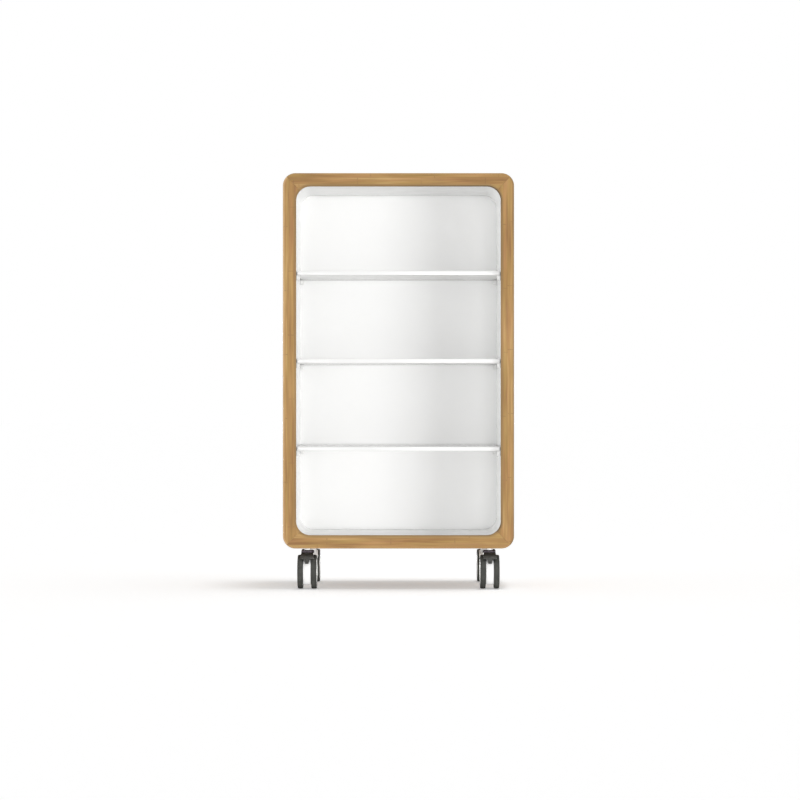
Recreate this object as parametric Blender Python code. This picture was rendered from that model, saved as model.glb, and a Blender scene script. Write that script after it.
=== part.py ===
"""Mitred bamboo bookcase with a white lined inside, three shelves and four braked twin-wheel castors.

Metres, +Z up, front towards -Y, origin on the floor under the middle of the case.
"""

import math

import bmesh
import bpy
from mathutils import Vector

# Fit between pieces that touch
CLEARANCE = 0.0003

# Case, made of four mitred boards
CASE_WIDTH = 0.850
CASE_HEIGHT = 1.380
CASE_DEPTH = 0.400
BOARD_THICKNESS = 0.049
OUTER_RADIUS = 0.046
COVE_RADIUS = 0.052
EDGE_ROUNDING = 0.003
FRONT_LIP = 0.007
CORNER_STEPS = 4
EDGE_STEPS = 2

# White lining, and the back panel in its groove
LINING_THICKNESS = 0.003
BACK_MARGIN = 0.025
BACK_THICKNESS = 0.008
GROOVE_DEPTH = 0.010

# Shelves and the brackets that carry them
SHELF_COUNT = 3
SHELF_THICKNESS = 0.016
SHELF_SETBACK = 0.025
SHELF_END_GAP = 0.003
SHELF_REAR_GAP = 0.002
SHELF_EDGE_ROUNDING = 0.001
BRACKET_WIDTH = 0.012
BRACKET_HEIGHT = 0.018
BRACKET_DEPTH = 0.024
BRACKET_CORNER = 0.004
BRACKET_INSET = 0.006
PEG_RADIUS = 0.0035
PEG_LENGTH = 0.014
PEG_SIDES = 8

# Castor, as a whole
CASTOR_HEIGHT = 0.150
CASTOR_SIDE_INSET = 0.089
CASTOR_END_INSET = 0.075
CASTOR_TRAIL = 0.038

# Castor wheels
WHEEL_WIDTH = 0.0200
TYRE_THICKNESS = 0.0125
TYRE_SHOULDER = 0.0042
TYRE_CROWN = 0.0005
WHEEL_SIDES = 20
HUB_RIM_WIDTH = 0.004
HUB_DOME = 0.003
HUB_WEB = 0.004
HUB_BOSS_RADIUS = 0.012
HUB_FACE = 0.0008
WHEEL_SIDE_GAP = 0.0006

# Castor axle and stem
AXLE_RADIUS = 0.005
AXLE_END_WALL = 0.006
STEM_RADIUS = 0.006
STEM_THREAD_LENGTH = 0.036
STEM_CHAMFER = 0.0015
COLLAR_RADIUS = 0.0145
COLLAR_HEIGHT = 0.0090
STEM_SIDES = 12
CUP_SIDES = 20

# Castor housing and the metal cup on top of it
HOUSING_WIDTH = 0.0294
HOUSING_INSET = 0.004
HOUSING_FLOOR_GAP = 0.018
HOUSING_TOP_ANGLE = 45.0
HOUSING_EDGE = 0.002
HOUSING_ARC_STEPS = 8
NECK_HALF_LENGTH = 0.0225
NECK_HEIGHT = 0.0321
NECK_ABOVE_WHEEL = 0.0051
FLANGE_RADIUS = 0.023
FLANGE_THICKNESS = 0.0078
CUP_RADIUS = 0.0247
CUP_HEIGHT = 0.0100
CUP_SHOULDER = 0.0035
STEM_SOCKET_WALL = 0.006

# Hood of the housing, over the wheels on the stem's side
HOOD_CLEARANCE = 0.002
HOOD_THICKNESS = 0.003
HOOD_WIDTH = 0.057
HOOD_TOP_ANGLE = -25.0
HOOD_FOOT_ANGLE = -62.0
HOOD_STEPS = 4

# Brake pedal, an arched plate over the wheels on a rib that rocks in the housing
PEDAL_CLEARANCE = 0.0045
PEDAL_THICKNESS = 0.0032
PEDAL_CUP_GAP = 0.0011
PEDAL_FRONT_ANGLE = 45.0
PEDAL_SHOULDER_ANGLE = 3.5
PEDAL_REAR_WIDTH = 0.042
PEDAL_FRONT_WIDTH = 0.050
PEDAL_STEPS = 7
TONGUE_TIP_ANGLE = 61.0
TONGUE_ROOT_WIDTH = 0.0188
TONGUE_TIP_WIDTH = 0.014
PIVOT_DROP = 0.0155
PIVOT_BACK = 0.004
PIVOT_PIN_RADIUS = 0.0025
PIVOT_PIN_REACH = 0.004
RIB_WIDTH = 0.010
RIB_RADIUS = 0.005
RIB_SWING_ROOM = 0.002
CROWN_COVER = 0.006

# Sizes that follow from the ones above
CASE_CENTRE = CASTOR_HEIGHT + CASE_HEIGHT / 2
FRONT = -CASE_DEPTH / 2
REAR = CASE_DEPTH / 2
LINING_FRONT = FRONT + FRONT_LIP
GROOVE_FRONT = REAR - BACK_MARGIN
GROOVE_REAR = GROOVE_FRONT + BACK_THICKNESS + 2 * CLEARANCE
OPENING_WIDTH = CASE_WIDTH - 2 * BOARD_THICKNESS
OPENING_HEIGHT = CASE_HEIGHT - 2 * BOARD_THICKNESS
OPENING_FLOOR = CASTOR_HEIGHT + BOARD_THICKNESS
COMPARTMENT = (OPENING_HEIGHT - SHELF_COUNT * SHELF_THICKNESS) / (SHELF_COUNT + 1)
SHELF_PITCH = COMPARTMENT + SHELF_THICKNESS
SHELF_FRONT = FRONT + SHELF_SETBACK
SHELF_REAR = GROOVE_FRONT - SHELF_REAR_GAP
COLLAR_TOP = CASTOR_HEIGHT - CLEARANCE
COLLAR_FOOT = COLLAR_TOP - COLLAR_HEIGHT
CUP_TOP = COLLAR_FOOT - CLEARANCE
CUP_FOOT = CUP_TOP - CUP_HEIGHT
HOUSING_TOP = CUP_FOOT - CLEARANCE
NECK_FOOT = HOUSING_TOP - NECK_HEIGHT
STEM_FOOT = NECK_FOOT + STEM_SOCKET_WALL
WHEEL_RADIUS = (HOUSING_TOP - NECK_ABOVE_WHEEL) / 2
WHEEL_INNER_FACE = HOUSING_WIDTH / 2 + WHEEL_SIDE_GAP
TYRE_BORE = WHEEL_RADIUS - TYRE_THICKNESS
HOUSING_ROUND = WHEEL_RADIUS - HOUSING_INSET
PEDAL_INNER = WHEEL_RADIUS + PEDAL_CLEARANCE
PEDAL_OUTER = PEDAL_INNER + PEDAL_THICKNESS
PEDAL_BEHIND_AXLE = CASTOR_TRAIL - CUP_RADIUS - PEDAL_CUP_GAP
PEDAL_REAR_ANGLE = -math.degrees(math.asin(PEDAL_BEHIND_AXLE / PEDAL_OUTER))
PIVOT_LIFT = PEDAL_INNER - PIVOT_DROP
AXLE_SPOT = Vector((0.0, -CASTOR_TRAIL, WHEEL_RADIUS))
PIVOT_SPOT = AXLE_SPOT + Vector((0.0, PIVOT_BACK, PIVOT_LIFT))


def clear_scene():
    for old in list(bpy.data.objects):
        bpy.data.objects.remove(old)


def make_material(name, colour, roughness, metallic=0.0):
    material = bpy.data.materials.new(name)
    material.use_nodes = True
    shader = material.node_tree.nodes["Principled BSDF"]
    shader.inputs["Base Color"].default_value = (*colour, 1.0)
    shader.inputs["Roughness"].default_value = roughness
    shader.inputs["Metallic"].default_value = metallic
    return material


def place(name, mesh, material, parent=None, location=(0.0, 0.0, 0.0), rotation=(0.0, 0.0, 0.0)):
    """One named piece from a mesh, which other pieces may share."""
    if not mesh.materials:
        mesh.materials.append(material)
    piece = bpy.data.objects.new(name, mesh)
    piece.parent = parent
    piece.location = location
    piece.rotation_euler = rotation
    bpy.context.scene.collection.objects.link(piece)
    return piece


def mesh_from(bm, name, smooth_angle=None):
    bmesh.ops.recalc_face_normals(bm, faces=bm.faces[:])
    mesh = bpy.data.meshes.new(name)
    bm.to_mesh(mesh)
    bm.free()
    if smooth_angle is not None:
        mesh.shade_smooth()
        mesh.set_sharp_from_angle(angle=math.radians(smooth_angle))
    return mesh


def loft(name, rings, wrap=False, smooth_angle=30):
    """A skin over rings of points, closed by caps or, with wrap, by joining the last ring to the first."""
    bm = bmesh.new()
    loops = [[bm.verts.new(point) for point in ring] for ring in rings]
    pairs = list(zip(loops, loops[1:]))
    if wrap:
        pairs.append((loops[-1], loops[0]))
    else:
        bm.faces.new(loops[0])
        bm.faces.new(loops[-1])
    for first, second in pairs:
        for index, corner in enumerate(first):
            following = (index + 1) % len(first)
            bm.faces.new((corner, first[following], second[following], second[index]))
    return mesh_from(bm, name, smooth_angle)


def turned(name, profile, sides, axis, smooth_angle=40):
    """A closed profile of (along, radius) points spun round the X or Z axis."""
    bm = bmesh.new()
    turn = Vector((1.0, 0.0, 0.0)) if axis == "X" else Vector((0.0, 0.0, 1.0))
    reach = Vector((0.0, 0.0, 1.0)) if axis == "X" else Vector((1.0, 0.0, 0.0))
    corners = [bm.verts.new(turn * along + reach * radius) for along, radius in profile]
    edges = [bm.edges.new(pair) for pair in zip(corners, corners[1:])]
    if profile[0][1] > 0.0 or profile[-1][1] > 0.0:
        edges.append(bm.edges.new((corners[-1], corners[0])))
    bmesh.ops.spin(
        bm,
        geom=corners + edges,
        cent=(0.0, 0.0, 0.0),
        axis=turn,
        angle=math.tau,
        steps=sides,
        use_merge=True,
    )
    bmesh.ops.remove_doubles(bm, verts=bm.verts[:], dist=1e-6)
    return mesh_from(bm, name, smooth_angle)


def rod(name, start, end, radius, sides, axis):
    profile = ((start, 0.0), (start, radius), (end, radius), (end, 0.0))
    return turned(name, profile, sides, axis)


def block(name, low, high):
    across = ((low[0], low[1]), (high[0], low[1]), (high[0], high[1]), (low[0], high[1]))
    rings = [[Vector((x, y, z)) for x, y in across] for z in (low[2], high[2])]
    return loft(name, rings, smooth_angle=None)


def combined(mesh, others, operation):
    """The mesh with each other mesh joined to it or cut from it."""
    base = bpy.data.objects.new(mesh.name, mesh)
    bpy.context.scene.collection.objects.link(base)
    helpers = []
    for other in others:
        helper = bpy.data.objects.new(other.name, other)
        helper.hide_render = True
        helper.display_type = "WIRE"
        bpy.context.scene.collection.objects.link(helper)
        boolean = base.modifiers.new(other.name, "BOOLEAN")
        boolean.operation = operation
        boolean.object = helper
        helpers.append(helper)
    return settled(base, helpers)


def bevelled(mesh, width, segments, angle):
    base = bpy.data.objects.new(mesh.name, mesh)
    bpy.context.scene.collection.objects.link(base)
    bevel = base.modifiers.new("edges", "BEVEL")
    bevel.width = width
    bevel.segments = segments
    bevel.limit_method = "ANGLE"
    bevel.angle_limit = math.radians(angle)
    return settled(base, [])


def settled(base, helpers):
    """The mesh that an object's modifiers make, with the object and its helpers taken away."""
    bpy.context.view_layer.update()
    evaluated = base.evaluated_get(bpy.context.evaluated_depsgraph_get())
    result = bpy.data.meshes.new_from_object(evaluated)
    result.name = base.name
    result.shade_smooth()
    result.set_sharp_from_angle(angle=math.radians(30))
    for spare in [base, *helpers]:
        bpy.data.objects.remove(spare)
    return result


def moved(mesh, offset):
    copy = mesh.copy()
    for vertex in copy.vertices:
        vertex.co += offset
    return copy


def arc(centre, radius, first, last, steps):
    """Points (across, up) on an arc between two angles in radians."""
    turn = (last - first) / steps
    angles = [first + turn * step for step in range(steps + 1)]
    return [(centre[0] + radius * math.cos(a), centre[1] + radius * math.sin(a)) for a in angles]


def board_section():
    """Points (inset, depth, corner radius) of a board's section, from the outer front edge to the rear."""
    rounds = [math.pi / 2 * step / EDGE_STEPS for step in range(EDGE_STEPS + 1)]
    reach = [EDGE_ROUNDING * (1 - math.cos(a)) for a in rounds]
    back = [EDGE_ROUNDING * (1 - math.sin(a)) for a in rounds]
    full = BOARD_THICKNESS
    lining = full - LINING_THICKNESS - CLEARANCE
    groove = full - GROOVE_DEPTH
    points = [(r, FRONT + b) for r, b in zip(reach, back)]
    points += [(full - r, FRONT + b) for r, b in zip(reversed(reach), reversed(back))]
    points += [(full, LINING_FRONT), (lining, LINING_FRONT), (lining, GROOVE_FRONT)]
    points += [(groove, GROOVE_FRONT), (groove, GROOVE_REAR), (full, GROOVE_REAR)]
    points += [(full - r, REAR - b) for r, b in zip(reach, back)]
    points += [(r, REAR - b) for r, b in zip(reversed(reach), reversed(back))]
    middle = full / 2
    return [
        (inset, depth, OUTER_RADIUS - inset if inset < middle else COVE_RADIUS + full - inset)
        for inset, depth in points
    ]


def board_mesh(name, half_length, half_span):
    """A board from mitre to mitre: length along X, outer face up, each point along its own rounded path."""
    paths = []
    for inset, depth, radius in board_section():
        trim = math.asin(CLEARANCE / 2 / radius)
        across = half_length - inset - radius
        up = half_span - inset - radius
        left = arc((-across, up), radius, math.pi * 3 / 4 - trim, math.pi / 2, CORNER_STEPS)
        right = arc((across, up), radius, math.pi / 2, math.pi / 4 + trim, CORNER_STEPS)
        paths.append([Vector((x, depth, z)) for x, z in left + right])
    return loft(name, list(zip(*paths)))


def rounded_rectangle(half_width, half_height, radius):
    points = []
    for turn, side, up in ((0, 1, 1), (1, -1, 1), (2, -1, -1), (3, 1, -1)):
        centre = (side * (half_width - radius), up * (half_height - radius))
        points += arc(centre, radius, turn * math.pi / 2, (turn + 1) * math.pi / 2, 2 * CORNER_STEPS)
    return points


def opening_loop(growth, depth):
    """The case's opening grown by a distance, at one depth."""
    half_width = OPENING_WIDTH / 2 + growth
    half_height = OPENING_HEIGHT / 2 + growth
    outline = rounded_rectangle(half_width, half_height, COVE_RADIUS + growth)
    return [Vector((x, depth, z)) for x, z in outline]


def peg_cutters(side):
    """Holes for the bracket pegs of one side, in the case's own frame."""
    wall = OPENING_WIDTH / 2
    ends = sorted((side * (wall - CLEARANCE), side * (wall + PEG_LENGTH + CLEARANCE)))
    hole = rod("peg_hole", *ends, PEG_RADIUS + CLEARANCE, PEG_SIDES, "X")
    return [moved(hole, Vector((0.0, y, z - CASE_CENTRE))) for y, z in bracket_spots()]


def bracket_spots():
    """Depth and height of each bracket's peg on one side."""
    front = SHELF_FRONT + BRACKET_INSET + BRACKET_DEPTH / 2
    rear = SHELF_REAR - BRACKET_INSET - BRACKET_DEPTH / 2
    heights = [shelf_underside(level) - CLEARANCE - BRACKET_HEIGHT / 2 for level in range(SHELF_COUNT)]
    return [(depth, height) for height in heights for depth in (front, rear)]


def shelf_underside(level):
    return OPENING_FLOOR + COMPARTMENT + level * SHELF_PITCH


def build_case(bamboo, white):
    case = bpy.data.objects.new("case", None)
    case.location = (0.0, 0.0, CASE_CENTRE)
    bpy.context.scene.collection.objects.link(case)

    half_width = CASE_WIDTH / 2
    half_height = CASE_HEIGHT / 2
    quarter = math.pi / 2
    place("top_board", board_mesh("top_board", half_width, half_height), bamboo, case)

    bottom = board_mesh("bottom_board", half_width, half_height)
    hole = rod(
        "stem_hole",
        half_height - BOARD_THICKNESS + EDGE_ROUNDING,
        half_height + EDGE_ROUNDING,
        STEM_RADIUS + CLEARANCE,
        STEM_SIDES,
        "Z",
    )
    holes = [moved(hole, Vector((x, y, 0.0))) for _, x, y, _ in castor_spots()]
    bottom = combined(bottom, holes, "DIFFERENCE")
    place("bottom_board", bottom, bamboo, case, rotation=(0.0, math.pi, 0.0))

    for name, side in (("left_side_board", -1), ("right_side_board", 1)):
        mesh = board_mesh(name, half_height, half_width)
        mesh = turned_about_y(mesh, side * quarter)
        mesh = combined(mesh, peg_cutters(side), "DIFFERENCE")
        place(name, mesh, bamboo, case)

    outside = LINING_THICKNESS
    lining_front = LINING_FRONT + CLEARANCE
    rings = [
        opening_loop(0.0, lining_front),
        opening_loop(outside, lining_front),
        opening_loop(outside, GROOVE_FRONT),
        opening_loop(0.0, GROOVE_FRONT),
    ]
    lining = loft("lining", rings, wrap=True)
    lining = combined(lining, peg_cutters(-1) + peg_cutters(1), "DIFFERENCE")
    place("lining", lining, white, case)

    panel_front = GROOVE_FRONT + CLEARANCE
    panel_growth = GROOVE_DEPTH - CLEARANCE
    depths = (panel_front, panel_front + BACK_THICKNESS)
    faces = [opening_loop(panel_growth, depth) for depth in depths]
    place("back_panel", loft("back_panel", faces), white, case)


def turned_about_y(mesh, angle):
    for vertex in mesh.vertices:
        x, z = vertex.co.x, vertex.co.z
        vertex.co.x = x * math.cos(angle) + z * math.sin(angle)
        vertex.co.z = z * math.cos(angle) - x * math.sin(angle)
    return mesh


def bracket_mesh():
    """A moulded block with a rounded lower corner and a peg, the wall at X = 0 and the shelf above."""
    half = BRACKET_HEIGHT / 2
    tip = BRACKET_WIDTH
    outline = [(CLEARANCE, half), (CLEARANCE, -half)]
    outline += arc((tip - BRACKET_CORNER, -half + BRACKET_CORNER), BRACKET_CORNER, -math.pi / 2, 0.0, 4)
    outline += [(tip, half)]
    rings = [[Vector((x, y, z)) for x, z in outline] for y in (-BRACKET_DEPTH / 2, BRACKET_DEPTH / 2)]
    peg = rod("peg", -PEG_LENGTH, BRACKET_WIDTH / 2, PEG_RADIUS, PEG_SIDES, "X")
    return combined(loft("bracket", rings), [peg], "UNION")


def build_shelves(white, bracket_white):
    half = OPENING_WIDTH / 2 - SHELF_END_GAP
    board = block("shelf", (-half, SHELF_FRONT, 0.0), (half, SHELF_REAR, SHELF_THICKNESS))
    board = bevelled(board, SHELF_EDGE_ROUNDING, 2, 60)
    bracket = bracket_mesh()
    spots = bracket_spots()
    for level, name in enumerate(("lower", "middle", "upper")):
        place(f"{name}_shelf", board, white, location=(0.0, 0.0, shelf_underside(level)))
        front, rear = spots[2 * level : 2 * level + 2]
        for end, (depth, height) in (("front", front), ("rear", rear)):
            wall = OPENING_WIDTH / 2
            left = f"{name}_left_{end}_bracket"
            right = f"{name}_right_{end}_bracket"
            place(left, bracket, bracket_white, location=(-wall, depth, height))
            place(right, bracket, bracket_white, location=(wall, depth, height), rotation=(0.0, 0.0, math.pi))


def castor_spots():
    """Name, stem position and heading of each castor."""
    x = CASE_WIDTH / 2 - CASTOR_SIDE_INSET
    y = CASE_DEPTH / 2 - CASTOR_END_INSET
    return (
        ("front_left", -x, -y, 0.0),
        ("front_right", x, -y, 0.0),
        ("rear_left", -x, y, math.pi),
        ("rear_right", x, y, math.pi),
    )


def tyre_mesh():
    """A crowned tread with rounded shoulders, from the inner face at X = 0 outwards."""
    inner_shoulder = TYRE_SHOULDER / 2
    edge = WHEEL_RADIUS - TYRE_CROWN
    inner = arc((inner_shoulder, edge - inner_shoulder), inner_shoulder, math.pi, math.pi / 2, 2)
    outer = arc((WHEEL_WIDTH - TYRE_SHOULDER, edge - TYRE_SHOULDER), TYRE_SHOULDER, math.pi / 2, 0.0, 3)
    profile = [(HUB_FACE, TYRE_BORE), *inner, (WHEEL_WIDTH / 2, WHEEL_RADIUS), *outer]
    profile.append((WHEEL_WIDTH - HUB_FACE, TYRE_BORE))
    return turned("tyre", profile, WHEEL_SIDES, "X")


def hub_mesh():
    """A slightly domed disc with a rim for the tyre and a blind boss for the axle."""
    rim = TYRE_BORE - CLEARANCE
    face = WHEEL_WIDTH - HUB_FACE
    bore = AXLE_RADIUS + CLEARANCE
    inside = rim - HUB_RIM_WIDTH
    web_back = face - HUB_WEB
    middle = inside / 2
    rise = HUB_DOME * (1 - (middle / inside) ** 2)
    bore_end = face - AXLE_END_WALL
    profile = [
        (bore_end, 0.0),
        (bore_end, bore),
        (0.0, bore),
        (0.0, HUB_BOSS_RADIUS),
        (web_back, HUB_BOSS_RADIUS + HUB_WEB),
        (HUB_FACE, inside),
        (HUB_FACE, rim),
        (face, rim),
        (face, inside),
        (face + rise, middle),
        (face + HUB_DOME, 0.0),
    ]
    return turned("hub", profile, WHEEL_SIDES, "X")


def stem_mesh():
    """A threaded end for the board, a hexagon collar and a plain end for the housing."""
    top = CASTOR_HEIGHT + STEM_THREAD_LENGTH
    profile = (
        (top, 0.0),
        (top, STEM_RADIUS - STEM_CHAMFER),
        (top - STEM_CHAMFER, STEM_RADIUS),
        (STEM_FOOT + STEM_CHAMFER, STEM_RADIUS),
        (STEM_FOOT, STEM_RADIUS - STEM_CHAMFER),
        (STEM_FOOT, 0.0),
    )
    collar = rod("collar", COLLAR_FOOT, COLLAR_TOP, COLLAR_RADIUS, 6, "Z")
    return combined(turned("stem", profile, STEM_SIDES, "Z"), [collar], "UNION")


def cup_mesh():
    """A pressed metal cap over the swivel bearing."""
    bore = STEM_RADIUS + CLEARANCE
    shoulder = arc((CUP_RADIUS - CUP_SHOULDER, CUP_TOP - CUP_SHOULDER), CUP_SHOULDER, math.pi / 2, 0.0, 2)
    profile = [(CUP_TOP, bore)]
    profile += [(z, r) for r, z in shoulder]
    profile += [(CUP_FOOT, CUP_RADIUS), (CUP_FOOT, bore)]
    return turned("cup", profile, CUP_SIDES, "Z")


def housing_outline():
    """Side view (depth, height): a round body with a flat foot, a crown over the pedal's pivot and a neck."""
    axle = (AXLE_SPOT.y, AXLE_SPOT.z)
    crown_top = PIVOT_SPOT.z + CROWN_COVER
    crown_front = PIVOT_SPOT.y - CROWN_COVER - RIB_RADIUS
    start = math.radians(90.0 + HOUSING_TOP_ANGLE)
    dip = math.asin((AXLE_SPOT.z - HOUSING_FLOOR_GAP) / HOUSING_ROUND)
    front = arc(axle, HOUSING_ROUND, start, math.pi + dip, HOUSING_ARC_STEPS)
    back = arc(axle, HOUSING_ROUND, math.tau - dip, math.tau, HOUSING_ARC_STEPS // 2)
    neck = [(NECK_HALF_LENGTH, NECK_FOOT), (NECK_HALF_LENGTH, HOUSING_TOP), (-NECK_HALF_LENGTH, HOUSING_TOP)]
    return [(crown_front, crown_top), *front, *back, *neck, (-NECK_HALF_LENGTH, crown_top)]


def arched_plate(name, sections, inner, outer, centre):
    """A plate bent round the axle: rows of (angle ahead of upright, width) between two radii."""
    rings = []
    for angle, width in sections:
        ahead = math.sin(math.radians(angle))
        up = math.cos(math.radians(angle))
        corners = ((-width / 2, inner), (width / 2, inner), (width / 2, outer), (-width / 2, outer))
        rings.append([centre + Vector((x, -r * ahead, r * up)) for x, r in corners])
    return loft(name, rings)


def hood_mesh():
    """Two wings over the wheels, one piece through the neck."""
    inner = WHEEL_RADIUS + HOOD_CLEARANCE
    span = HOOD_FOOT_ANGLE - HOOD_TOP_ANGLE
    sections = [(HOOD_TOP_ANGLE + span * step / HOOD_STEPS, HOOD_WIDTH) for step in range(HOOD_STEPS + 1)]
    return arched_plate("hood", sections, inner, inner + HOOD_THICKNESS, AXLE_SPOT)


def housing_mesh():
    half = HOUSING_WIDTH / 2
    rings = [[Vector((x, y, z)) for y, z in housing_outline()] for x in (-half, half)]
    body = bevelled(loft("housing", rings), HOUSING_EDGE, 1, 60)
    flange = rod("flange", HOUSING_TOP - FLANGE_THICKNESS, HOUSING_TOP, FLANGE_RADIUS, CUP_SIDES, "Z")
    body = combined(body, [flange, hood_mesh()], "UNION")

    socket_top = HOUSING_TOP + HOUSING_EDGE
    socket = rod("stem_socket", STEM_FOOT - CLEARANCE, socket_top, STEM_RADIUS + CLEARANCE, STEM_SIDES, "Z")
    axle_hole = rod("axle_hole", -HOUSING_WIDTH, HOUSING_WIDTH, AXLE_RADIUS + CLEARANCE, PEG_SIDES, "X")
    pin_reach = RIB_WIDTH / 2 + PIVOT_PIN_REACH + CLEARANCE
    pin_hole = rod("pin_hole", -pin_reach, pin_reach, PIVOT_PIN_RADIUS + CLEARANCE, PEG_SIDES, "X")
    room = RIB_RADIUS + RIB_SWING_ROOM
    slot_half = RIB_WIDTH / 2 + CLEARANCE
    slot = block(
        "rib_slot",
        (-slot_half, PIVOT_SPOT.y - room, PIVOT_SPOT.z - room),
        (slot_half, PIVOT_SPOT.y + room, HOUSING_TOP),
    )
    holes = [socket, moved(axle_hole, AXLE_SPOT), moved(pin_hole, PIVOT_SPOT), slot]
    return combined(body, holes, "DIFFERENCE")


def pedal_mesh():
    """An arched plate that narrows to a tongue, with a rib and two pins, about the pivot."""
    span = PEDAL_FRONT_ANGLE - PEDAL_SHOULDER_ANGLE - PEDAL_REAR_ANGLE
    sections = []
    for step in range(PEDAL_STEPS + 1):
        share = step / PEDAL_STEPS
        width = PEDAL_REAR_WIDTH + (PEDAL_FRONT_WIDTH - PEDAL_REAR_WIDTH) * share
        sections.append((PEDAL_REAR_ANGLE + span * share, width))
    sections.append((PEDAL_FRONT_ANGLE, TONGUE_ROOT_WIDTH))
    sections.append((TONGUE_TIP_ANGLE, TONGUE_TIP_WIDTH))

    plate = arched_plate("pedal", sections, PEDAL_INNER, PEDAL_OUTER, AXLE_SPOT - PIVOT_SPOT)

    half = RIB_WIDTH / 2
    rib_top = PEDAL_INNER + PEDAL_THICKNESS / 2 - PIVOT_LIFT
    outline = [(RIB_RADIUS, rib_top)]
    outline += arc((0.0, 0.0), RIB_RADIUS, 0.0, -math.pi, 6)
    outline += [(-RIB_RADIUS, rib_top)]
    rib = loft("rib", [[Vector((x, y, z)) for y, z in outline] for x in (-half, half)])
    reach = half + PIVOT_PIN_REACH
    pin = rod("pin", -reach, reach, PIVOT_PIN_RADIUS, PEG_SIDES, "X")
    return combined(plate, [rib, pin], "UNION")


def build_castors(steel, dark_metal, white, rubber, grey, black):
    tyre = tyre_mesh()
    hub = hub_mesh()
    stem = stem_mesh()
    cup = cup_mesh()
    housing = housing_mesh()
    pedal = pedal_mesh()
    axle_reach = WHEEL_INNER_FACE + WHEEL_WIDTH - HUB_FACE - AXLE_END_WALL - CLEARANCE
    axle = rod("axle", -axle_reach, axle_reach, AXLE_RADIUS, PEG_SIDES, "X")
    for name, x, y, heading in castor_spots():
        castor = bpy.data.objects.new(f"{name}_castor", None)
        castor.location = (x, y, 0.0)
        castor.rotation_euler = (0.0, 0.0, heading)
        bpy.context.scene.collection.objects.link(castor)
        place(f"{name}_stem", stem, steel, castor)
        place(f"{name}_swivel_cup", cup, dark_metal, castor)
        place(f"{name}_housing", housing, white, castor)
        place(f"{name}_axle", axle, steel, castor, AXLE_SPOT)
        place(f"{name}_pedal", pedal, black, castor, PIVOT_SPOT)
        outwards = 1.0 if x * math.cos(heading) > 0.0 else -1.0
        for wheel, side in (("outer", outwards), ("inner", -outwards)):
            face = AXLE_SPOT + Vector((side * WHEEL_INNER_FACE, 0.0, 0.0))
            turn = (0.0, 0.0, 0.0 if side > 0.0 else math.pi)
            place(f"{name}_{wheel}_tyre", tyre, rubber, castor, face, turn)
            place(f"{name}_{wheel}_hub", hub, grey, castor, face, turn)


def build():
    clear_scene()
    bamboo = make_material("bamboo", (0.47, 0.30, 0.12), 0.45)
    white = make_material("white_laminate", (0.90, 0.90, 0.89), 0.35)
    bracket_white = make_material("white_plastic", (0.88, 0.88, 0.86), 0.40)
    steel = make_material("zinc_steel", (0.62, 0.62, 0.63), 0.30, 1.0)
    dark_metal = make_material("dark_metal", (0.18, 0.16, 0.17), 0.35, 1.0)
    rubber = make_material("grey_rubber", (0.075, 0.073, 0.070), 0.70)
    grey = make_material("grey_plastic", (0.48, 0.48, 0.46), 0.45)
    black = make_material("black_plastic", (0.030, 0.029, 0.029), 0.50)
    castor_white = make_material("white_nylon", (0.86, 0.86, 0.85), 0.40)
    build_case(bamboo, white)
    build_shelves(white, bracket_white)
    build_castors(steel, dark_metal, castor_white, rubber, grey, black)


if __name__ == "__main__":
    build()
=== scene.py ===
"""Looks of the bamboo bookshelf on castors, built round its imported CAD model.

Metres, +Z up, front towards -Y. Every form is a skin over a grid of points, and every finish is procedural.
"""

import logging
import math
from dataclasses import dataclass, field
from enum import Enum
from typing import Any, Optional, Union

import bmesh
import bpy
import numpy as np
from bpy.types import Material, Mesh, NodeSocket, NodeTree, Object
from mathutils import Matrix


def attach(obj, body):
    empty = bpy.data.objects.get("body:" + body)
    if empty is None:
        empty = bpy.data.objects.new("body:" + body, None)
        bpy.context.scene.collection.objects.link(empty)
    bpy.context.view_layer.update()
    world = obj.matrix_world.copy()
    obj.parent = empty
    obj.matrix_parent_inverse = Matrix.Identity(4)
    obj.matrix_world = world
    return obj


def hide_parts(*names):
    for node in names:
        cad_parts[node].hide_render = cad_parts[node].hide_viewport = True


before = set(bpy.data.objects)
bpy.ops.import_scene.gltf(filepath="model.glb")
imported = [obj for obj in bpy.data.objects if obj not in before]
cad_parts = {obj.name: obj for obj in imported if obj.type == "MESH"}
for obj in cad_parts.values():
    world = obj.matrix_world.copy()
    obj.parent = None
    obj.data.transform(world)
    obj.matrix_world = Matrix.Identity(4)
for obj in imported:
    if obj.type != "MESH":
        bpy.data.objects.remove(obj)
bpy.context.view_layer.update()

LOG = logging.getLogger("bookshelf")
CASE_BODY = "case"
# Mesh attribute of worn edges; on the bamboo boards it carries painted edge shade, a painted highlight and a
# painted shadow line.
WEAR = "wear"
WHITE = (1.0, 1.0, 1.0)
BULK = (0.25, 0.75)  # the range that most of a noise lies in
CREASE = 35.0
SLIVER = 2e-6
QUARTER = math.pi / 2

Pair = tuple[float, float]
Triple = tuple[float, float, float]
Colour = Triple
Value = Union["Wire", float]
Paint = Union["Wire", Colour]
Tone = Union[np.ndarray, float]
Looks = dict[str, Material]
Spot = tuple["Wire", "Wire", "Wire"]


class Grain(Enum):
    """The axis that a board's grain runs along."""

    ALONG_X = "x"
    ALONG_Z = "z"


class Axis(Enum):
    """The axis that a turned form is spun round."""

    X = "x"
    Z = "z"


class Carve(Enum):
    """What one mesh does to another."""

    JOIN = "UNION"
    CUT = "DIFFERENCE"


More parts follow.
